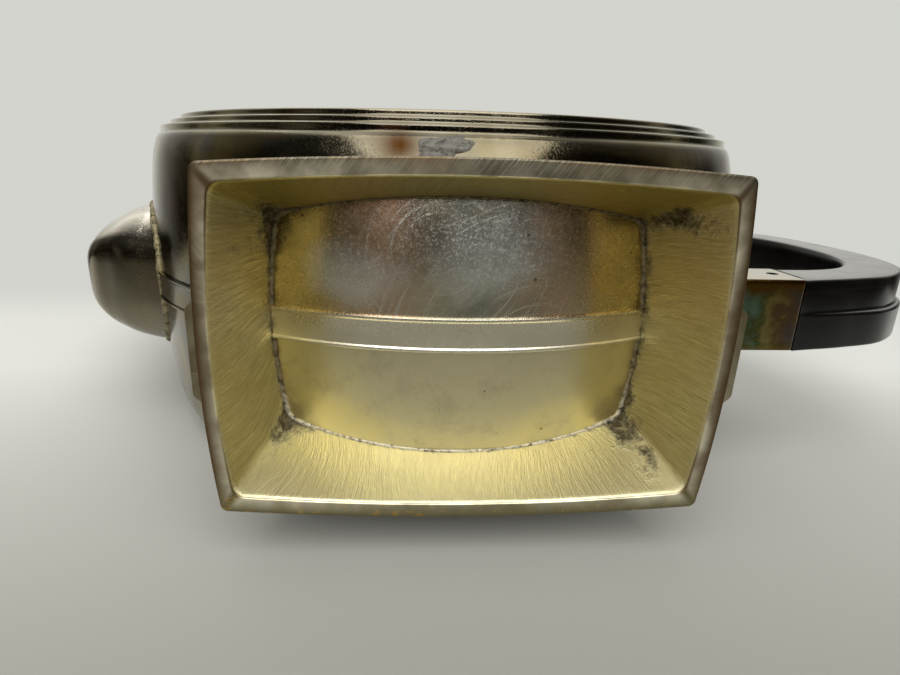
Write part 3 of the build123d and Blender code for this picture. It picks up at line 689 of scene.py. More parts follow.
def resin_finish(name="satin_resin"):
    """Black resin: satin, with pale dust specks, faint rubbed streaks, a soft mottle, and a
    painted sheen: pale grey painted on the flat side that faces -Y."""
    f = Finish(name)
    c = colours()
    dust = f.ramp(f.spots(f.places, 900.0), 0.02, 0.07, 1.0, 0.0)
    dust = f.times(dust, f.ramp(f.cloud(160.0, 3.0), 0.58, 0.68, 0.0, 0.7))
    rubbed = f.ramp(f.noise(f.stretch(f.places, (60.0, 900.0, 60.0)), 1.0, 4.0), 0.5, 0.8, 0.0, 0.5)
    base = f.blend(rubbed, tuple(c.resin), (0.008, 0.007, 0.005))
    # Painted sheen: the flat side facing -Y, towards the overhead light, painted pale grey, patchy by a
    # cloud.
    side = f.ramp(f.facing("Y"), -0.80, -0.97)
    film_and_sheen = f.ramp(f.cloud(110.0, 5.0, 0.7), 0.3, 0.7, 0.75, 1.0)
    base = f.blend(f.times(side, film_and_sheen), base, (0.17, 0.168, 0.16))
    f.link(f.blend(dust, base, (0.30, 0.28, 0.24)), "Base Color")
    f.link(f.ramp(f.cloud(140.0, 5.0, 0.65), 0.3, 0.75, 0.14, 0.30), "Roughness")
    f.link(f.bump(f.cloud(700.0, 3.0), 0.00003, 0.25), "Normal")
    f.set(Specular_IOR_Level=0.35)
    return f.material


def heat_finish(name="heated_plate"):
    """Silver plate with heat colours on the side that faced the torch: green and teal by the
    drum, straw in the middle, violet brown by the handle, orange along one edge, all over
    a dull metal with dark specks."""
    f = Finish(name)
    c = colours()
    along = f.place("X")
    across = f.place("Y")
    warp = f.cloud(120.0, 4.0, 0.6, 0.4)
    level = f.plus(f.ramp(along, 0.052, 0.071, 0.0, 0.80), f.ramp(warp, 0.3, 0.7, -0.22, 0.22))
    bands = f.node("ShaderNodeValToRGB", {"Fac": level})
    stops = ((0.05, (0.10, 0.13, 0.06)), (0.22, (0.16, 0.25, 0.19)), (0.36, (0.10, 0.12, 0.045)),
             (0.50, (0.30, 0.25, 0.09)), (0.64, (0.17, 0.11, 0.05)), (0.78, (0.13, 0.10, 0.09)),
             (0.92, (0.11, 0.08, 0.055)))
    ramp = bands.color_ramp
    while len(ramp.elements) < len(stops):
        ramp.elements.new(0.5)
    for element, (place, colour) in zip(ramp.elements, stops):
        element.position = place
        element.color = (*colour, 1.0)
    edge = f.plus(across, f.ramp(warp, 0.3, 0.7, -0.0012, 0.0012))
    tinted = f.blend(f.ramp(edge, -0.0035, -0.0060), bands.outputs["Color"], (0.13, 0.065, 0.012))
    tinted = f.blend(f.ramp(edge, 0.0055, 0.0074), tinted, (0.11, 0.08, 0.018))
    facing = f.ramp(f.facing("Z"), -0.75, -0.35, 1.0, 0.0)
    base = f.blend(facing, tuple(c.silver), tinted)
    specks = f.ramp(f.spots(f.places, 620.0), 0.04, 0.12, 0.8, 0.0)
    base = f.blend(f.times(specks, f.ramp(warp, 0.48, 0.58)), base, tuple(c.oxide))
    veins = f.ramp(f.size_of(f.ramp(f.cloud(210.0, 3.0, 0.6), 0.3, 0.7, -1.0, 1.0)),
                   0.0, 0.05, 0.7, 0.0)
    base = f.blend(f.times(veins, f.ramp(across, 0.001, 0.005)), base, (0.05, 0.04, 0.02))
    f.link(base, "Base Color")
    f.link(f.ramp(f.cloud(200.0, 4.0), 0.3, 0.8, 0.14, 0.30), "Roughness")
    f.link(f.bump(f.cloud(260.0, 3.0), 0.00012, 0.4), "Normal")
    f.set(Metallic=1.0)
    return f.material


def solder_finish(name="old_solder", tone=(0.34, 0.32, 0.27), low_tone=None, pores=0.42):
    """Grainy grey solder with dark pores; low_tone takes over on the side nearest the table."""
    f = Finish(name)
    grain = f.cloud(900.0, 5.0, 0.75)
    metal = f.blend(f.ramp(f.place("Y"), 0.010, 0.021), tone, low_tone or tone)
    base = f.blend(f.ramp(grain, pores - 0.06, pores + 0.12), tuple(colours().oxide), metal)
    f.link(base, "Base Color")
    f.link(f.ramp(grain, 0.3, 0.7, 0.70, 0.34), "Roughness")
    f.link(f.bump(grain, 0.0004, 0.9), "Normal")
    f.set(Metallic=0.75)
    return f.material


def steel_finish(name="turned_steel"):
    """Plain turned metal of the small fastenings, with fine grain and dulled spots."""
    f = Finish(name)
    grain = f.noise(f.stretch(f.places, (400.0, 400.0, 4000.0)), 1.0, 3.0)
    f.link(f.blend(f.ramp(grain, 0.35, 0.7), (0.34, 0.32, 0.28), (0.62, 0.59, 0.52)), "Base Color")
    f.link(f.ramp(grain, 0.3, 0.7, 0.26, 0.46), "Roughness")
    f.link(f.bump(grain, 0.00003, 0.4), "Normal")
    f.set(Metallic=1.0)
    return f.material


def shared(name, maker, *values):
    """The finish of that name, made on first use."""
    return bpy.data.materials.get(name) or maker(name, *values)


# ---------------------------------------------------------------- pieces

class PieceOperator:
    """What every operator here shares: it can be undone, and it runs its own build."""

    bl_options = {"REGISTER", "UNDO"}

    def execute(self, context):
        self.build()
        return {"FINISHED"}


def pan_profile():
    """Half section of the drum from the seam to the middle of the flat side: the belly's
    parabola, the shoulder, then three steps with rounded edges."""
    y = np.concatenate([np.linspace(0, MOUTH_HALF[1], 12), np.linspace(MOUTH_HALF[1], 26.5, 9)[1:]])
    wall = np.stack([y, belly(y)], 1)
    t = np.linspace(0, 1, 12)[1:-1, None]
    start, pull, end = np.array([26.5, belly(26.5)]), np.array([31.6, 72.3]), np.array([32.3, 70.9])
    shoulder = (1 - t) ** 2 * start + 2 * t * (1 - t) * pull + t ** 2 * end
    steps = [(32.3, 70.9), (32.6, 70.8), (33.8, 70.8), (33.8, 68.6), (35.0, 68.6), (35.0, 66.4), (36.2, 66.4),
             (36.2, 60.0)]
    rings = softened(steps, sizes().ring_round / MM)
    flat = np.stack([np.full(6, DRUM_HALF), np.linspace(58, 1.0, 6)], 1)
    return np.concatenate([wall, shoulder, rings, flat])


class TEAPOT_OT_pans(PieceOperator, bpy.types.Operator):
    """The two pressed pans of the drum: a profile turned about the drum's axis, with the
    mouth and the spout's passage left open, then given the sheet's thickness."""

    bl_idname = "teapot.pans"
    bl_label = "Drum pans"

    def build(self):
        profile = pan_profile()
        turn = np.linspace(0, 2 * np.pi, 352, endpoint=False)
        for name, side in (("front_pan", -1), ("back_pan", 1)):
            y, r = profile[:, 0][None], profile[:, 1][None]
            x = r * np.sin(turn)[:, None]
            z = DRUM_Z + r * np.cos(turn)[:, None]
            points = np.stack([x, np.broadcast_to(side * y, x.shape), z], -1)

            def solid(middle):
                mouth = ((abs(middle[:, 0]) < MOUTH_HALF[0]) & (abs(middle[:, 1]) < MOUTH_HALF[1])
                         & (middle[:, 2] > DRUM_Z))
                passage = ((abs(middle[:, 1]) < PASSAGE_HALF[0]) & (middle[:, 0] < 0)
                           & (abs(middle[:, 2] - PASSAGE_Z) < PASSAGE_HALF[1]))
                return ~(mouth | passage)

            parts = [cells(points, wrap_rows=True, keep=solid), disc(points[:, -1])]
            piece = make_piece(name + "_skin", parts, centre=(0, side * 10, DRUM_Z), closed=False,
                               smooth_angle=50)
            x, y, z = vertex_places(piece).T
            under_foot = (abs(x - 0.6) < 33.5) & (abs(y) < 22.8) & (z < 30)
            store_values(piece, "sheltered", under_foot)
            scorch = (np.exp(-((x + 10.6) / 3.4) ** 2 - ((y + 30.4) / 2.8) ** 2)
                      + 0.7 * np.exp(-((x - 20) / 8) ** 2 - ((y + 29.0) / 1.4) ** 2))
            store_values(piece, "stain", np.where(z < 30, scorch, 0))
            thicken(piece, SHEET)
            finish_piece(piece, "pot", "silver", shared("polished_plate", silver_finish), name)


class TEAPOT_OT_strap(PieceOperator, bpy.types.Operator):
    """The raised band over the seam: a flat section with a fine bead along each edge,
    carried round the drum from one side of the lid to the other."""

    bl_idname = "teapot.strap"
    bl_label = "Centre strap"

    def build(self):
        left = [(-3.0, -0.15), (-3.0, 0.72), (-2.45, 0.72), (-2.25, 0.50)]
        section = softened(left + [(-y, height) for y, height in reversed(left)], 0.14, 4)
        start = np.arcsin(43.2 / DRUM_RADIUS)
        end = 2 * np.pi - np.arcsin((LID_HALF[0] + 0.3) / DRUM_RADIUS)
        turn = np.linspace(start, end, 340)[:, None]
        r = DRUM_RADIUS + section[:, 1][None]
        points = np.stack([r * np.sin(turn), np.broadcast_to(section[:, 0][None], (340, len(section))),
                           DRUM_Z + r * np.cos(turn)], -1)
        parts = [cells(points, wrap_cols=True), disc(points[0]), disc(points[-1], flip=True)]
        piece = make_piece("centre_strap_skin", parts, smooth_angle=55)
        x, y, z = vertex_places(piece).T
        store_values(piece, "sheltered", 0.9 * ((abs(x - 0.6) < 34.5) & (z < 30)))
        finish_piece(piece, "pot", "silver", shared("polished_plate", silver_finish), "centre_strap")


def foot_lean(y, height):
    """How far the foot stands towards the handle: half a millimetre by the drum, and more
    towards the rim, the more so at low y."""
    return 0.5 + (0.42 - 0.0127 * y) * (1 - height / 15.0)


def tapered_outline(inset, taper, corner, height):
    """The foot's bowed outline drawn in by inset plus taper times height, point by point, and
    carried towards the handle by a lean that shrinks with height: the foot sits a little askew."""
    full = rounded_loop(*FOOT_HALF, corner, FOOT_BOW, side=46, turn=9)
    inner = rounded_loop(FOOT_HALF[0] - 10, FOOT_HALF[1] - 10, corner, FOOT_BOW, side=46, turn=9)
    height = np.reshape(height, (-1, 1))
    outline = full + (inner - full) * (np.array(inset) + taper * height) / 10.0
    outline[:, 0] += foot_lean(outline[:, 1], height[:, 0])
    return outline


def foot_walls():
    """Outer and inner flank of the foot as rows from the rim to the drum. At each point of the
    outline, height runs to where the flank, closing in by a fixed share of its height, meets
    the drum; that height is found by repeated substitution."""
    rim = (sizes().rim_end_width / MM, sizes().rim_width / MM)
    share = np.linspace(0, 1, 26)
    walls = []
    for inset, taper, corner, sink in (((0, 0), OUTER_TAPER, 1.2, 0.35), (rim, INNER_TAPER, 2.4, 0.12)):
        height = np.full(len(tapered_outline(inset, taper, corner, 0.0)), 14.0)
        for _ in range(25):
            outline = tapered_outline(inset, taper, corner, height)
            height = 0.5 * height + 0.5 * (on_drum(outline[:, 0], outline[:, 1], 0.0, top=False)[:, 2] + sink)
        rows = [np.column_stack([tapered_outline(inset, taper, corner, height * s), height * s])
                for s in share]
        walls.append(np.stack(rows))
    return walls


FOOT_MARKS = (((31.5, 19.5), 2.6, 0.95), ((34.5, 22.5), 1.8, 0.7), ((36.5, -19.5), 2.2, 0.75),
              ((34.0, -21.0), 2.0, 0.55), ((-31.5, -19.5), 3.2, 0.6), ((-33.5, -15.0), 2.6, 0.4),
              ((32.5, 14.0), 1.8, 0.7), ((-31.5, 19.0), 2.2, 0.55))


class TEAPOT_OT_foot(PieceOperator, bpy.types.Operator):
    """The hollow flared foot: outer flank, rounded rim and inner flank in one closed ring,
    with stored values for grime by the drum and in the corners and for the rim's face."""

    bl_idname = "teapot.foot"
    bl_label = "Foot"

    def build(self):
        outer, inner = foot_walls()
        round_edge = 0.35
        s = np.linspace(0, 1, 5)[:, None, None]
        outer_low, inner_low = outer[0], inner[0]
        rim_low = outer_low + (inner_low - outer_low) * 0.12
        rim_high = outer_low + (inner_low - outer_low) * 0.88
        lift = np.array([0, 0, round_edge])
        edge_out = (1 - s) ** 2 * (outer_low + lift) + 2 * s * (1 - s) * outer_low + s ** 2 * rim_low
        edge_in = (1 - s) ** 2 * rim_high + 2 * s * (1 - s) * inner_low + s ** 2 * (inner_low + lift)
        rows = np.concatenate([outer[:0:-1], edge_out, edge_in, inner[1:]])
        parts = [cells(rows, wrap_rows=True, wrap_cols=True)]
        piece = make_piece("foot_shell", parts, smooth_angle=50)
        self.store_wear(piece)
        finish_piece(piece, "pot", "worn_silver", shared("ground_foot", foot_finish), "foot")

    def store_wear(self, piece):
        places = vertex_places(piece)
        x, y, z = places.T
        gap = on_drum(x, y, 0.0, top=False)[:, 2] - z
        sideways = np.clip((abs(x - FOOT_MIDDLE) - 27.0) / 3.0, 0, 1)
        near = np.exp(-np.maximum(gap, 0) / (0.8 + 1.1 * sideways)) * (0.45 + 0.5 * sideways)
        flank_x = FOOT_HALF[0] - sizes().rim_end_width / MM - INNER_TAPER * z
        flank_y = FOOT_HALF[1] - sizes().rim_width / MM - INNER_TAPER * z
        corner = np.hypot(np.maximum(flank_x - abs(x - FOOT_MIDDLE), 0), np.maximum(flank_y - abs(y), 0))
        creases = 0.5 * np.exp(-corner / 1.3) * np.clip(z / 12.0, 0.15, 1.0)
        marks = sum(depth * np.exp(-((x - place[0]) ** 2 + (y - place[1]) ** 2) / width ** 2)
                    for place, width, depth in FOOT_MARKS)
        store_values(piece, "grime", np.clip(near + creases + marks, 0, 1))
        store_values(piece, "rim", np.clip(1.25 - z / 0.4, 0, 1))
        past_edge = self.inner_edge(x, y)
        # Where the highlight along the rim's inner edge is painted: near the edge and low on the rim.
        store_values(piece, "edge_highlight", np.exp(-(past_edge / 0.28) ** 2) * np.clip(1.6 - z / 0.3, 0, 1))
        store_values(piece, "outside", (past_edge + INNER_TAPER * z > 1.0) & (z > 0.2))

    def inner_edge(self, x, y):
        """How far a point lies outside the rim's inner edge, taken along X or Y, whichever
        is further out."""
        reach_x = FOOT_HALF[0] - sizes().rim_end_width / MM + FOOT_BOW * (1 - (y / FOOT_HALF[1]) ** 2)
        reach_y = FOOT_HALF[1] - sizes().rim_width / MM + FOOT_BOW * (1 - (x / FOOT_HALF[0]) ** 2)
        return np.maximum(abs(x - foot_lean(y, 0.0)) - reach_x, abs(y) - reach_y)


class TEAPOT_OT_foot_solder(PieceOperator, bpy.types.Operator):
    """Lumpy solder bead round the inside and the outside of the joint of foot and drum."""

    bl_idname = "teapot.foot_solder"
    bl_label = "Foot solder"

    def build(self):
        outer, inner = foot_walls()
        for name, wall, size in (("foot_solder_inside", inner, 1.0), ("foot_solder_outside", outer, 0.6)):
            path = wall[-1] - (0, 0, 0.05)
            turn = np.linspace(0, 2 * np.pi, len(path), endpoint=False)
            sideways = np.clip((abs(path[:, 0]) - 25.0) / 6.0, 0, 1)
            radius = sizes().seam_size / MM * size * (1 + 0.4 * lumps(turn * 9, 4)) * (0.62 + 0.5 * sideways)
            piece = tube(name, path, radius, closed_path=True)
            finish_piece(piece, "pot", "solder", shared("dark_solder", solder_finish, (0.20, 0.16, 0.09),
                                                        (0.62, 0.58, 0.46)))


class TEAPOT_OT_foot_ribs(PieceOperator, bpy.types.Operator):
    """The raised middle strips on the foot's short ends: a wedge whose outline across
    is flat in the middle and slopes off at both sides."""

    bl_idname = "teapot.foot_ribs"
    bl_label = "Foot ribs"

    def build(self):
        across = softened([(-8.4, -0.5), (-6.9, 1.1), (6.9, 1.1), (8.4, -0.5)], 0.5, 5)
        loop = np.concatenate([across, [(7.5, -1.4), (-7.5, -1.4)]])
        for name, side in (("foot_rib_handle_side", 1), ("foot_rib_spout_side", -1)):
            heights = np.concatenate([[0.0, 0.0, 0.3], np.linspace(1, 15.6, 12)])
            shrink = np.concatenate([[0.25, 0.1, 0.0], np.zeros(12)])
            rows = []
            for height, less in zip(heights, shrink):
                swell = FOOT_BOW * (1 - (loop[:, 0] / FOOT_HALF[1]) ** 2)
                reach = FOOT_HALF[0] + swell + loop[:, 1] - less - OUTER_TAPER * height
                x = side * reach + foot_lean(loop[:, 0], height)
                rows.append(np.stack([x, loop[:, 0], np.full(len(loop), height + 0.04)], 1))
            piece = stacked(name + "_strip", rows, smooth_angle=50)
            store_values(piece, "grime", np.full(len(piece.data.vertices), 0.1))
            store_values(piece, "outside", np.ones(len(piece.data.vertices)))
            store_values(piece, "rim", np.clip(1.2 - vertex_places(piece)[:, 2] / 0.4, 0, 1))
            finish_piece(piece, "pot", "worn_silver", shared("ground_foot", foot_finish), name)


SPOUT_LOW = ((-58.0, 45.0), (-66.0, 46.8), (-76.5, 48.8), (-84.5, 55.0), (-91.0, 80.0), (-98.0, 102.0),
             (-104.0, 120.0), (-107.6, 131.0))
SPOUT_HIGH = ((-58.0, 111.0), (-62.0, 112.0), (-66.0, 113.5), (-71.0, 116.0), (-77.0, 119.5), (-85.0, 126.0),
              (-92.5, 132.6), (-98.2, 137.8))
SPOUT_PLAN = ((-112.0, -85.5, -82.5, -79.0, -74.0, -69.0, -58.0), (6.0, 7.4, 10.2, 13.2, 16.0, 18.2, 20.0))
SPOUT_FRONT = ((43.0, 47.0, 53.0, 60.0, 66.0, 80.0, 100.0, 142.0),
               (9.0, 12.5, 17.2, 18.4, 17.6, 12.6, 9.2, 5.8))


def spout_rows(inset=0.0, rows=78, turns=112):
    """Sections from root to tip. Each lies in the plane through a low and a high point of the
    side view. Along that line, t from 0 to 1, the half width is the p-norm blend of the plan
    outline's width at x and the front outline's width at z; t and the width both follow
    a superellipse, so that the ends of the section are flat with rounded corners."""
    low, high = smooth_path(SPOUT_LOW, rows), smooth_path(SPOUT_HIGH, rows)
    length = np.linalg.norm(high - low, axis=1, keepdims=True)
    up = (high - low) / length
    a = np.linspace(0, 2 * np.pi, turns, endpoint=False)[None]
    corner = 0.42
    t = 0.5 - 0.5 * np.sign(np.cos(a)) * abs(np.cos(a)) ** corner
    reach = inset + t * (length - 2 * inset)
    x = low[:, :1] + up[:, :1] * reach
    z = low[:, 1:] + up[:, 1:] * reach
    plan = np.interp(x, *SPOUT_PLAN) - inset
    front = np.interp(z, *SPOUT_FRONT) - inset
    half = (plan ** -9 + front ** -9) ** (-1 / 9)
    y = half * np.sign(np.sin(a)) * abs(np.sin(a)) ** corner
    return np.stack([x, y, z], -1)


class TEAPOT_OT_spout(PieceOperator, bpy.types.Operator):
    """The faceted beak: an outer and an inner skin joined by a rounded lip at the tip and
    by a flat ring at the root inside the drum's wall."""

    bl_idname = "teapot.spout"
    bl_label = "Spout"

    def build(self):
        outer, inner = spout_rows(), spout_rows(inset=1.1)
        s = np.linspace(0, 1, 5)[1:-1, None, None]
        tip = (outer[-1] + inner[-1]) / 2 + (inner[-1] + outer[-1] - inner[-4] - outer[-4]) / 2 * 0.12
        lip = (1 - s) ** 2 * outer[-1] + 2 * s * (1 - s) * tip + s ** 2 * inner[-1]
        start = 6
        rows = np.concatenate([outer[start:], lip, inner[:start - 1:-1]])
        piece = make_piece("spout_shell", [cells(rows, wrap_rows=True, wrap_cols=True)], smooth_angle=60)
        finish_piece(piece, "pot", "silver", shared("spout_plate", silver_finish, 0.9, 0.16, 0.55), "spout")
        self.solder(outer)

    def solder(self, outer):
        """Bead where the spout leaves the drum: on each line from root to tip, the point whose
        distance from the drum's axis equals the wall's radius."""
        distance = np.hypot(outer[..., 0], outer[..., 2] - DRUM_Z) - belly(outer[..., 1])
        row = np.argmax(distance > 0, axis=0)
        column = np.arange(outer.shape[1])
        before, after = distance[row - 1, column], distance[row, column]
        share = (before / (before - after))[:, None]
        path = outer[row - 1, column] * (1 - share) + outer[row, column] * share
        turn = np.linspace(0, 2 * np.pi, len(path), endpoint=False)
        radius = 0.75 * (1 + 0.35 * lumps(turn * 4, 11))
        piece = tube("spout_solder", path, radius, closed_path=True)
        finish_piece(piece, "pot", "solder", shared("bright_solder", solder_finish, (0.30, 0.26, 0.15)))


class TEAPOT_OT_sockets(PieceOperator, bpy.types.Operator):
    """The two rectangular sockets: rounded rectangles stacked from inside the drum's wall to
    a softened end, then turned in to form the pocket that holds the handle's tenon."""

    bl_idname = "teapot.sockets"
    bl_label = "Handle sockets"

    def build(self):
        edge = sizes().edge_round / MM
        for name, bottom, end, start in (("lower_handle_socket", LOWER_Z, LOWER_END, 44.0),
                                         ("upper_handle_socket", UPPER_Z, UPPER_END, 64.5)):
            stations = [(start, 0.0), (end - 6, 0.0), (end - edge, 0.0), (end - 0.3 * edge, 0.12 * edge),
                        (end, 0.5 * edge), (end, 1.2), (end - 0.6, 1.25), (end - 6.6, 1.25)]
            rows = []
            for x, inset in stations:
                half_y, half_z = SOCKET_SIZE[0] / 2 - inset, SOCKET_SIZE[1] / 2 - inset
                loop = rounded_loop(half_y, half_z, 0.55, side=10, turn=5)
                place = bottom + SOCKET_SIZE[1] / 2
                shift = np.maximum(0, socket_start(loop[:, 0], place + loop[:, 1], start) - x)
                rows.append(np.stack([x + shift, loop[:, 0], place + loop[:, 1]], 1))
            piece = stacked(name + "_shell", rows, smooth_angle=50)
            finish_piece(piece, "pot", "silver", shared("heated_plate", heat_finish), name)


def socket_start(y, z, start):
    """Where the drum's wall stands at y and z, less a sheet's thickness, along X."""
    reach = (belly(y) - 1.5) ** 2 - (z - DRUM_Z) ** 2
    return np.maximum(np.sqrt(np.maximum(reach, 0)), start)


HANDLE_STEP = 1.4


def handle_edges(count, out):
    """Outer and inner edge of the loop in the XZ plane, the outer one pushed out by out
    towards its middle."""
    low, high = LOWER_Z, UPPER_Z + SOCKET_SIZE[1]
    reach = HANDLE_REACH
    outer = smooth_path([(LOWER_END + 0.2, low + 0.15), (83.0, 27.5), (95.0, 31.6), (105.8, 42.0),
                         (reach - 1.0, 57.0), (reach, 74.0), (reach - 1.7, 90.0), (105.0, 103.0),
                         (94.0, 114.2), (UPPER_END + 0.2, high - 0.15)], count)
    inner = smooth_path([(LOWER_END + 0.2, low + 11.85), (80.0, 37.6), (88.5, 41.5), (95.0, 49.0),
                         (99.2, 60.0), (100.4, 74.0), (99.0, 87.0), (94.5, 97.5), (88.0, 104.5),
                         (UPPER_END + 0.2, high - 11.85)], count)
    push = (np.sin(np.linspace(0, np.pi, count)) ** 0.7)[:, None]
    away = outer - inner
    away /= np.linalg.norm(away, axis=1, keepdims=True)
    return outer - away * push * (HANDLE_STEP - out), inner


class TEAPOT_OT_handle(PieceOperator, bpy.types.Operator):
    """The black loop: a section carried from socket to socket between an inner and an outer
    edge. The section is a rectangle with softened corners and a step in its outer side,
    which grows from nothing at the sockets."""

    bl_idname = "teapot.handle"
    bl_label = "Handle"

    def build(self):
        count = 150
        low_half, inner = handle_edges(count, 0.0)
        high_half, _ = handle_edges(count, HANDLE_STEP)
        half = SOCKET_SIZE[0] / 2
        section = softened([(0.5, -half), (0, -half), (0, -half * 0.2), (0, half * 0.55), (0, half),
                            (0.5, half), (1, half), (1, 0.35), (2, 0.05), (2, -half), (0.5, -half)], 0.7, 5)
        # The section's first number is 0 on the inner edge, 1 on the outer edge's lower half and 2
        # on its higher half. Beyond the step the section runs straight from inner to higher.
        share = section[:, 0]
        side = -section[:, 1]
        first = np.clip(share, 0, 1)[None, :, None]
        second = np.clip(share - 1, 0, 1)[None, :, None]
        flat = inner[:, None] + (low_half - inner)[:, None] * first + (high_half - low_half)[:, None] * second
        beyond_step = ((side > 0.2) & (share > 0) & (share <= 1))[None, :, None]
        flat = np.where(beyond_step, inner[:, None] + (high_half - inner)[:, None] * first, flat)
        y = np.broadcast_to(side[None], flat.shape[:2])
        points = np.stack([flat[..., 0], y, flat[..., 1]], -1)
        parts = [cells(points, wrap_cols=True), disc(points[0]), disc(points[-1], flip=True)]
        piece = make_piece("handle_loop", parts, smooth_angle=42)
        finish_piece(piece, "pot", "black_resin", shared("satin_resin", resin_finish), "handle")


def conformed(half_x, half_y, corner, stations):
    """Loops that lie on the top of the drum: for each station (inset, height) the rounded
    rectangle drawn in by inset, lifted to that height above the wall."""
    rows = []
    for inset, height in stations:
        round_corner = max(corner - inset, 0.3)
        loop = rounded_loop(max(half_x - inset, 0.4), max(half_y - inset, 0.3), round_corner, side=22, turn=6)
        rows.append(on_drum(loop[:, 0], loop[:, 1], height))
    return rows


class TEAPOT_OT_lid(PieceOperator, bpy.types.Operator):
    """The lid panel with softened edges, the flange under it, and the frame in the mouth,
    each a stack of rounded rectangles laid on the drum's curve."""

    bl_idname = "teapot.lid"
    bl_label = "Lid"

    def build(self):
        low, high = LID_GAP, LID_GAP + 1.2
        spread = [(inset, high) for inset in (16.0, 12.0, 8.0, 5.0, 2.5, 1.0)]
        edge = [(0.45, high), (0.16, high - 0.08), (0.0, high - 0.35), (0.0, low + 0.2), (0.15, low)]
        under = [(inset, low) for inset in (1.0, 3.0, 8.0, 16.0)]
        rows = conformed(*LID_HALF, 4.0, spread + edge + under)
        plate = shared("polished_plate", silver_finish)
        piece = stacked("lid_panel", rows, smooth_angle=50)
        finish_piece(piece, "lid", "silver", plate, "lid")
        ring = [(0.0, low), (0.0, -3.4), (0.2, -3.6), (0.7, -3.6), (0.9, -3.4), (0.9, low)]
        piece = stacked("lid_flange_ring", conformed(MOUTH_HALF[0] - 0.5, MOUTH_HALF[1] - 0.5, 2.6, ring),
                        wrap=True, smooth_angle=50)
        finish_piece(piece, "lid", "silver", plate, "lid_flange")
        ring = [(0.0, -SHEET), (0.0, -SHEET - 3.2), (1.4, -SHEET - 3.2), (1.4, -SHEET)]
        piece = stacked("mouth_frame_ring", conformed(MOUTH_HALF[0] + 1.4, MOUTH_HALF[1] + 1.4, 4.4, ring),
                        wrap=True, smooth_angle=50)
        finish_piece(piece, "pot", "silver", plate, "mouth_frame")


class TEAPOT_OT_finial(PieceOperator, bpy.types.Operator):
    """The stepped silver base and the black grip above it, each a stack of rounded
    rectangles whose half sizes follow a softened profile."""

    bl_idname = "teapot.finial"
    bl_label = "Finial"

    def build(self):
        plate = shared("polished_plate", silver_finish)
        steps = []
        for step, (half_x, half_y) in enumerate(((10.0, 6.5), (8.5, 5.2), (7.1, 4.0))):
            bottom = LID_TOP - 0.1 + 1.2 * step if step else FINIAL_BASE_Z + 0.1
            top = LID_TOP + 1.2 * (step + 1)
            steps += [(half_x, half_y, bottom), (half_x, half_y, top - 0.3),
                      (half_x - 0.08, half_y - 0.08, top - 0.08), (half_x - 0.3, half_y - 0.3, top)]
        piece = stacked("finial_steps", [self.loop(*step) for step in steps], smooth_angle=45)
        finish_piece(piece, "lid", "silver", plate, "finial_base")
        t = np.linspace(0, 1, 16)
        lower, upper = np.array([5.75, 3.3]), np.array([8.5, 3.8])
        sides = lower + (upper - lower) * (t ** 1.25)[:, None]
        z = FINIAL_LOW + (FINIAL_TOP - FINIAL_LOW - 0.8) * t
        rows = [self.loop(*lower - 0.3, FINIAL_LOW)]
        rows += [self.loop(half_x, half_y, level) for (half_x, half_y), level in zip(sides, z + 0.1)]
        a = np.linspace(0, np.pi / 2, 7)[1:]
        rows += [self.loop(8.5 - 0.8 * (1 - np.cos(b)), 3.8 - 0.8 * (1 - np.cos(b)),
                           FINIAL_TOP - 0.8 + 0.8 * np.sin(b)) for b in a]
        piece = stacked("finial_grip", rows, smooth_angle=45)
        finish_piece(piece, "lid", "black_resin", shared("satin_resin", resin_finish), "finial")

    def loop(self, half_x, half_y, level):
        """One rounded rectangle of the stack."""
        outline = rounded_loop(half_x, half_y, 1.2, side=8, turn=6)
        return np.column_stack([outline, np.full(len(outline), level)])


class TEAPOT_OT_patch(PieceOperator, bpy.types.Operator):
    """The grey solder repair on the shoulder: an uneven blot on the drum, its height falling
    from the middle to the edge, its edge wandering by a sum of sines."""

    bl_idname = "teapot.patch"
    bl_label = "Solder patch"

    def build(self):
        profile = pan_profile()
        y_line, r_line = profile[:, 0], profile[:, 1]
        length = np.concatenate([[0], np.cumsum(np.hypot(*np.diff(profile, axis=0).T))])
        a = np.linspace(0, 2 * np.pi, 90, endpoint=False)
        s = np.linspace(0.02, 1, 22)[:, None]
        edge = 1 + 0.13 * np.sin(3 * a + 1.0) + 0.09 * np.sin(5 * a + 2.6) + 0.05 * np.sin(9 * a)
        along = 30.2 + (2.3 * np.sin(a) + 0.8 * np.cos(a)) * s * edge
        turn = (-3.9 + 4.7 * s * edge * np.cos(a)) / DRUM_RADIUS
        bumps = np.sin(along * 1.9 + turn * 90) * np.sin(along * 2.6 - turn * 60)
        height = (0.36 + 0.12 * bumps) * (1 - s ** 4) - 0.06 * s
        wall_y = np.interp(along, length, y_line)
        r = np.interp(along, length, r_line) + height
        top = np.stack([r * np.sin(turn), -wall_y, DRUM_Z - r * np.cos(turn)], -1)
        under = top + (0, 0.5, 0.5)
        rows = np.concatenate([top, under[::-1]])
        parts = [cells(rows, wrap_cols=True), disc(rows[0]), disc(rows[-1], flip=True)]
        piece = make_piece("solder_repair", parts, smooth_angle=180)
        grey = shared("patch_solder", solder_finish, (0.14, 0.135, 0.12), None, 0.36)
        finish_piece(piece, "pot", "solder", grey, "solder_patch")


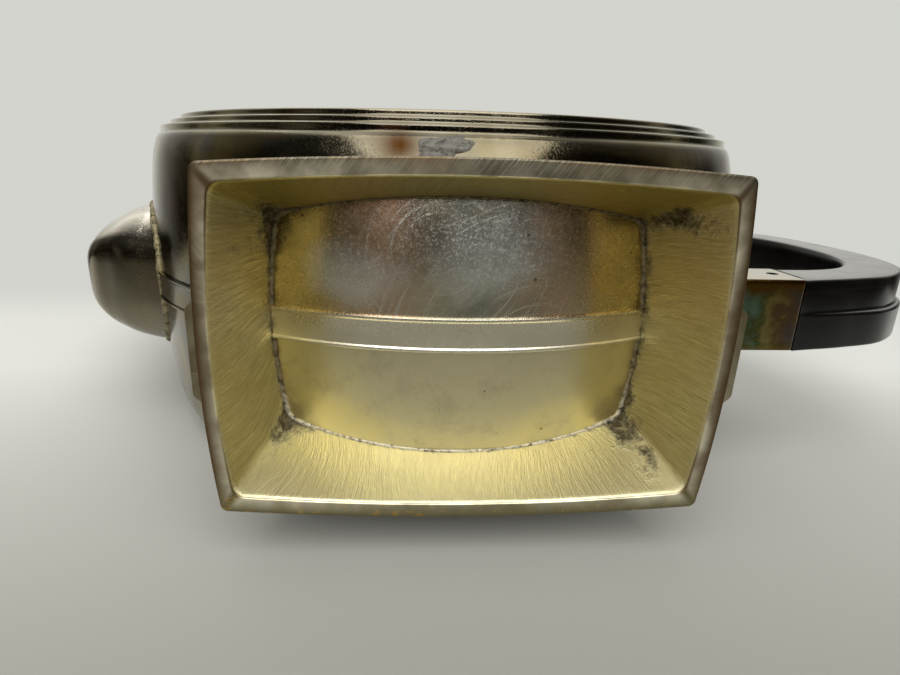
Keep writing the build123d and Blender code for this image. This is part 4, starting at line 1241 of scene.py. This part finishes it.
class TEAPOT_OT_small_parts(PieceOperator, bpy.types.Operator):
    """Gives the small parts that keep their frame shape their finishes."""

    bl_idname = "teapot.small_parts"
    bl_label = "Small parts"

    def build(self):
        plate = shared("polished_plate", silver_finish)
        steel = shared("turned_steel", steel_finish)
        for name, material in (("hinge_body_leaf", plate), ("hinge_lid_leaf", plate), ("handle_pins", plate),
                               ("strainer", plate), ("hinge_pin", steel), ("finial_stud", steel),
                               ("finial_washer", steel), ("finial_nut", steel)):
            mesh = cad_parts[name].data
            mesh.materials.clear()
            mesh.materials.append(material)


# ---------------------------------------------------------------- stage

TABLE_HOLE = 66.8
STAGE_REACH = 1600.0
STAGE_GAP = 0.05


def plain_material(name, colour, fade_from=None, fade_to=None):
    """Matte stage paint that is clear from behind; the table also darkens towards the front,
    as if the viewer shaded it, and fades out at its far edge."""
    f = Finish(name)
    soft = f.cloud(9.0, 3.0)
    paint = f.blend(f.ramp(soft, 0.3, 0.8, 0.0, 0.10), tuple(colour), (0.44, 0.44, 0.42))
    if fade_from is not None:
        shade = f.ramp(f.place("Z"), 0.09, -0.09, 0.0, 1.0)
        paint = f.blend(shade, paint, (0.062, 0.060, 0.040))
    f.link(paint, "Base Color")
    f.set(Roughness=0.75)
    clear = f.node("ShaderNodeBsdfTransparent")
    hidden = f.node("ShaderNodeNewGeometry").outputs["Backfacing"]
    if fade_from is not None:
        hidden = f.math("MAXIMUM", hidden, f.ramp(f.place("Z"), fade_from, fade_to))
    mixed = f.node("ShaderNodeMixShader", {0: hidden, 1: f.shader.outputs[0], 2: clear.outputs[0]})
    f.tree.links.new(mixed.outputs[0], f.tree.nodes["Material Output"].inputs["Surface"])
    return f.material


def area_light(name, place, size, watts, colour, aim=(0, 0, 0.085)):
    """Soft square lamp at a place in metres, aimed at a point."""
    lamp = bpy.data.lights.new(name, "AREA")
    lamp.energy, lamp.size, lamp.color = watts, size, colour
    holder = bpy.data.objects.new(name, lamp)
    holder.location = place
    holder.rotation_mode = "QUATERNION"
    holder.rotation_quaternion = (Vector(aim) - Vector(place)).to_track_quat("-Z", "Y")
    bpy.context.scene.collection.objects.link(holder)
    return holder


class TEAPOT_OT_stage(PieceOperator, bpy.types.Operator):
    """Table that the pot lies on, floor for it standing up, soft light, backdrop and camera."""

    bl_idname = "teapot.stage"
    bl_label = "Stage, light and camera"

    def build(self):
        self.table()
        self.floor()
        self.light()
        self.backdrop()
        self.camera()

    def table(self):
        """Flat ring round the drum's back side: open inside, so that the side has light."""
        a = np.linspace(0, 2 * np.pi, 96, endpoint=False)
        reach = np.array([TABLE_HOLE, 120.0, 400.0, STAGE_REACH])[:, None]
        depth = DRUM_HALF + STAGE_GAP
        points = np.stack([reach * np.cos(a), np.full((4, 96), depth), DRUM_Z + reach * np.sin(a)], -1)
        piece = make_piece("table_top", [cells(points, wrap_cols=True)], centre=(0, 500, DRUM_Z),
                           closed=False)
        edge = sizes().table_depth
        piece.data.materials.append(plain_material("table_paint", colours().table, edge - 0.05, edge + 0.01))

    def floor(self):
        """Plane under the foot that only shows from above and takes no part in the light."""
        across = np.linspace(-STAGE_REACH, STAGE_REACH, 9)
        x, y = np.meshgrid(across, across, indexing="ij")
        points = np.stack([x, y, np.full(x.shape, -STAGE_GAP)], -1)
        piece = make_piece("floor", [cells(points)], centre=(0, 0, -500), closed=False)
        piece.data.materials.append(plain_material("floor_paint", colours().table))
        piece.visible_diffuse = piece.visible_glossy = piece.visible_shadow = False
        piece.visible_transmission = False

    def light(self):
        """Two large soft boxes, one overhead and one low in front that lights the foot's inside."""
        area_light("overhead", (-0.12, -0.75, 0.26), 0.80, 2.5, (1.0, 0.985, 0.95))
        area_light("front", (0.0, -0.475, -0.40), 0.74, 6.3, (1.0, 0.985, 0.95), (0, 0, 0.01))

    def backdrop(self):
        """World. The eye sees a plain pale wall. Matte paint gets an even soft light. Polished
        metal sees a dim, patchy room in front, a pale wall behind, and a ceiling that is
        bright overhead and dim towards the viewer."""
        world = bpy.data.worlds.new("studio")
        bpy.context.scene.world = world
        world.use_nodes = True
        world.node_tree.nodes.clear()
        n = Nodes(world.node_tree)
        way = n.node("ShaderNodeTexCoord").outputs["Generated"]
        y, z = n.axis(way, "Y"), n.axis(way, "Z")
        patches = n.ramp(n.noise(way, 2.6, 4.0, 0.55, 0.8), 0.52, 0.66)
        room = n.blend(patches, (0.012, 0.010, 0.006), (0.20, 0.17, 0.115))
        room = n.blend(n.ramp(n.noise(way, 3.7, 2.0), 0.66, 0.70, 0.0, 0.8), room, (0.42, 0.16, 0.06))
        room = n.blend(n.ramp(z, 0.40, 0.80), room, (0.66, 0.655, 0.61))
        room = n.blend(n.ramp(y, 0.15, 0.60), room, (0.50, 0.49, 0.46))
        lit = n.times(n.ramp(y, -0.12, -0.60), n.ramp(z, -0.30, 0.35, 0.05, 1.0))
        room = n.blend(lit, room, (0.90, 0.89, 0.85))
        soft = n.blend(n.ramp(y, 0.3, -0.5), (0.42, 0.42, 0.40), (0.80, 0.80, 0.78))
        eye = (0.645, 0.655, 0.610, 1.0)
        ray = n.node("ShaderNodeLightPath")
        shades = [n.node("ShaderNodeBackground", {"Color": colour}).outputs[0]
                  for colour in (room, soft, eye)]
        lit_by = shades[0]
        for kind, shade in (("Is Diffuse Ray", shades[1]), ("Is Camera Ray", shades[2])):
            lit_by = n.node("ShaderNodeMixShader", {0: ray.outputs[kind], 1: lit_by, 2: shade}).outputs[0]
        n.node("ShaderNodeOutputWorld", {"Surface": lit_by})
        bpy.context.scene.view_settings.view_transform = "Standard"

    def camera(self):
        """Close camera in front of and below the foot, looking up along the pot's height."""
        data = bpy.data.cameras.new("camera")
        data.lens, data.sensor_width = 22.62, 36.0
        data.clip_start, data.clip_end = 0.005, 20.0
        holder = bpy.data.objects.new("camera", data)
        bpy.context.scene.collection.objects.link(holder)
        place = Vector((-0.00803, -0.02887, DRUM_Z * MM - 0.16619))
        forward = Vector((0.06329, 0.30471, 0.95034)).normalized()
        up = Vector((-0.0087, -0.95204, 0.30584))
        right = forward.cross(up).normalized()
        up = right.cross(forward)
        turn = Matrix((right, up, -forward)).transposed()
        holder.matrix_world = Matrix.Translation(place) @ turn.to_4x4()
        bpy.context.scene.camera = holder


OPERATORS = (TEAPOT_OT_pans, TEAPOT_OT_strap, TEAPOT_OT_foot, TEAPOT_OT_foot_solder, TEAPOT_OT_foot_ribs,
             TEAPOT_OT_spout, TEAPOT_OT_sockets, TEAPOT_OT_handle, TEAPOT_OT_lid, TEAPOT_OT_finial,
             TEAPOT_OT_patch, TEAPOT_OT_small_parts, TEAPOT_OT_stage)


class TEAPOT_PT_panel(bpy.types.Panel):
    """Sidebar panel with the teapot's settings and one button for each group of pieces."""

    bl_label = "Silver drum teapot"
    bl_space_type = "VIEW_3D"
    bl_region_type = "UI"
    bl_category = "Teapot"

    def draw(self, context):
        for group in (context.scene.teapot_sizes, context.scene.teapot_colours):
            for key in group.bl_rna.properties.keys():
                if key not in ("rna_type", "name"):
                    self.layout.prop(group, key)
        for operator in OPERATORS:
            self.layout.operator(operator.bl_idname)


def register():
    """Makes the settings, operators and panel known to Blender."""
    for group in (TeapotSizes, TeapotColours, *OPERATORS, TEAPOT_PT_panel):
        bpy.utils.register_class(group)
    bpy.types.Scene.teapot_sizes = bpy.props.PointerProperty(type=TeapotSizes)
    bpy.types.Scene.teapot_colours = bpy.props.PointerProperty(type=TeapotColours)


def unregister():
    """Takes the settings, operators and panel away again."""
    del bpy.types.Scene.teapot_colours
    del bpy.types.Scene.teapot_sizes
    for group in (TEAPOT_PT_panel, *reversed(OPERATORS), TeapotColours, TeapotSizes):
        bpy.utils.unregister_class(group)


def main():
    """Builds every piece and the stage."""
    register()
    for operator in OPERATORS:
        group, name = operator.bl_idname.split(".")
        getattr(getattr(bpy.ops, group), name)()


if __name__ == "__main__":
    main()
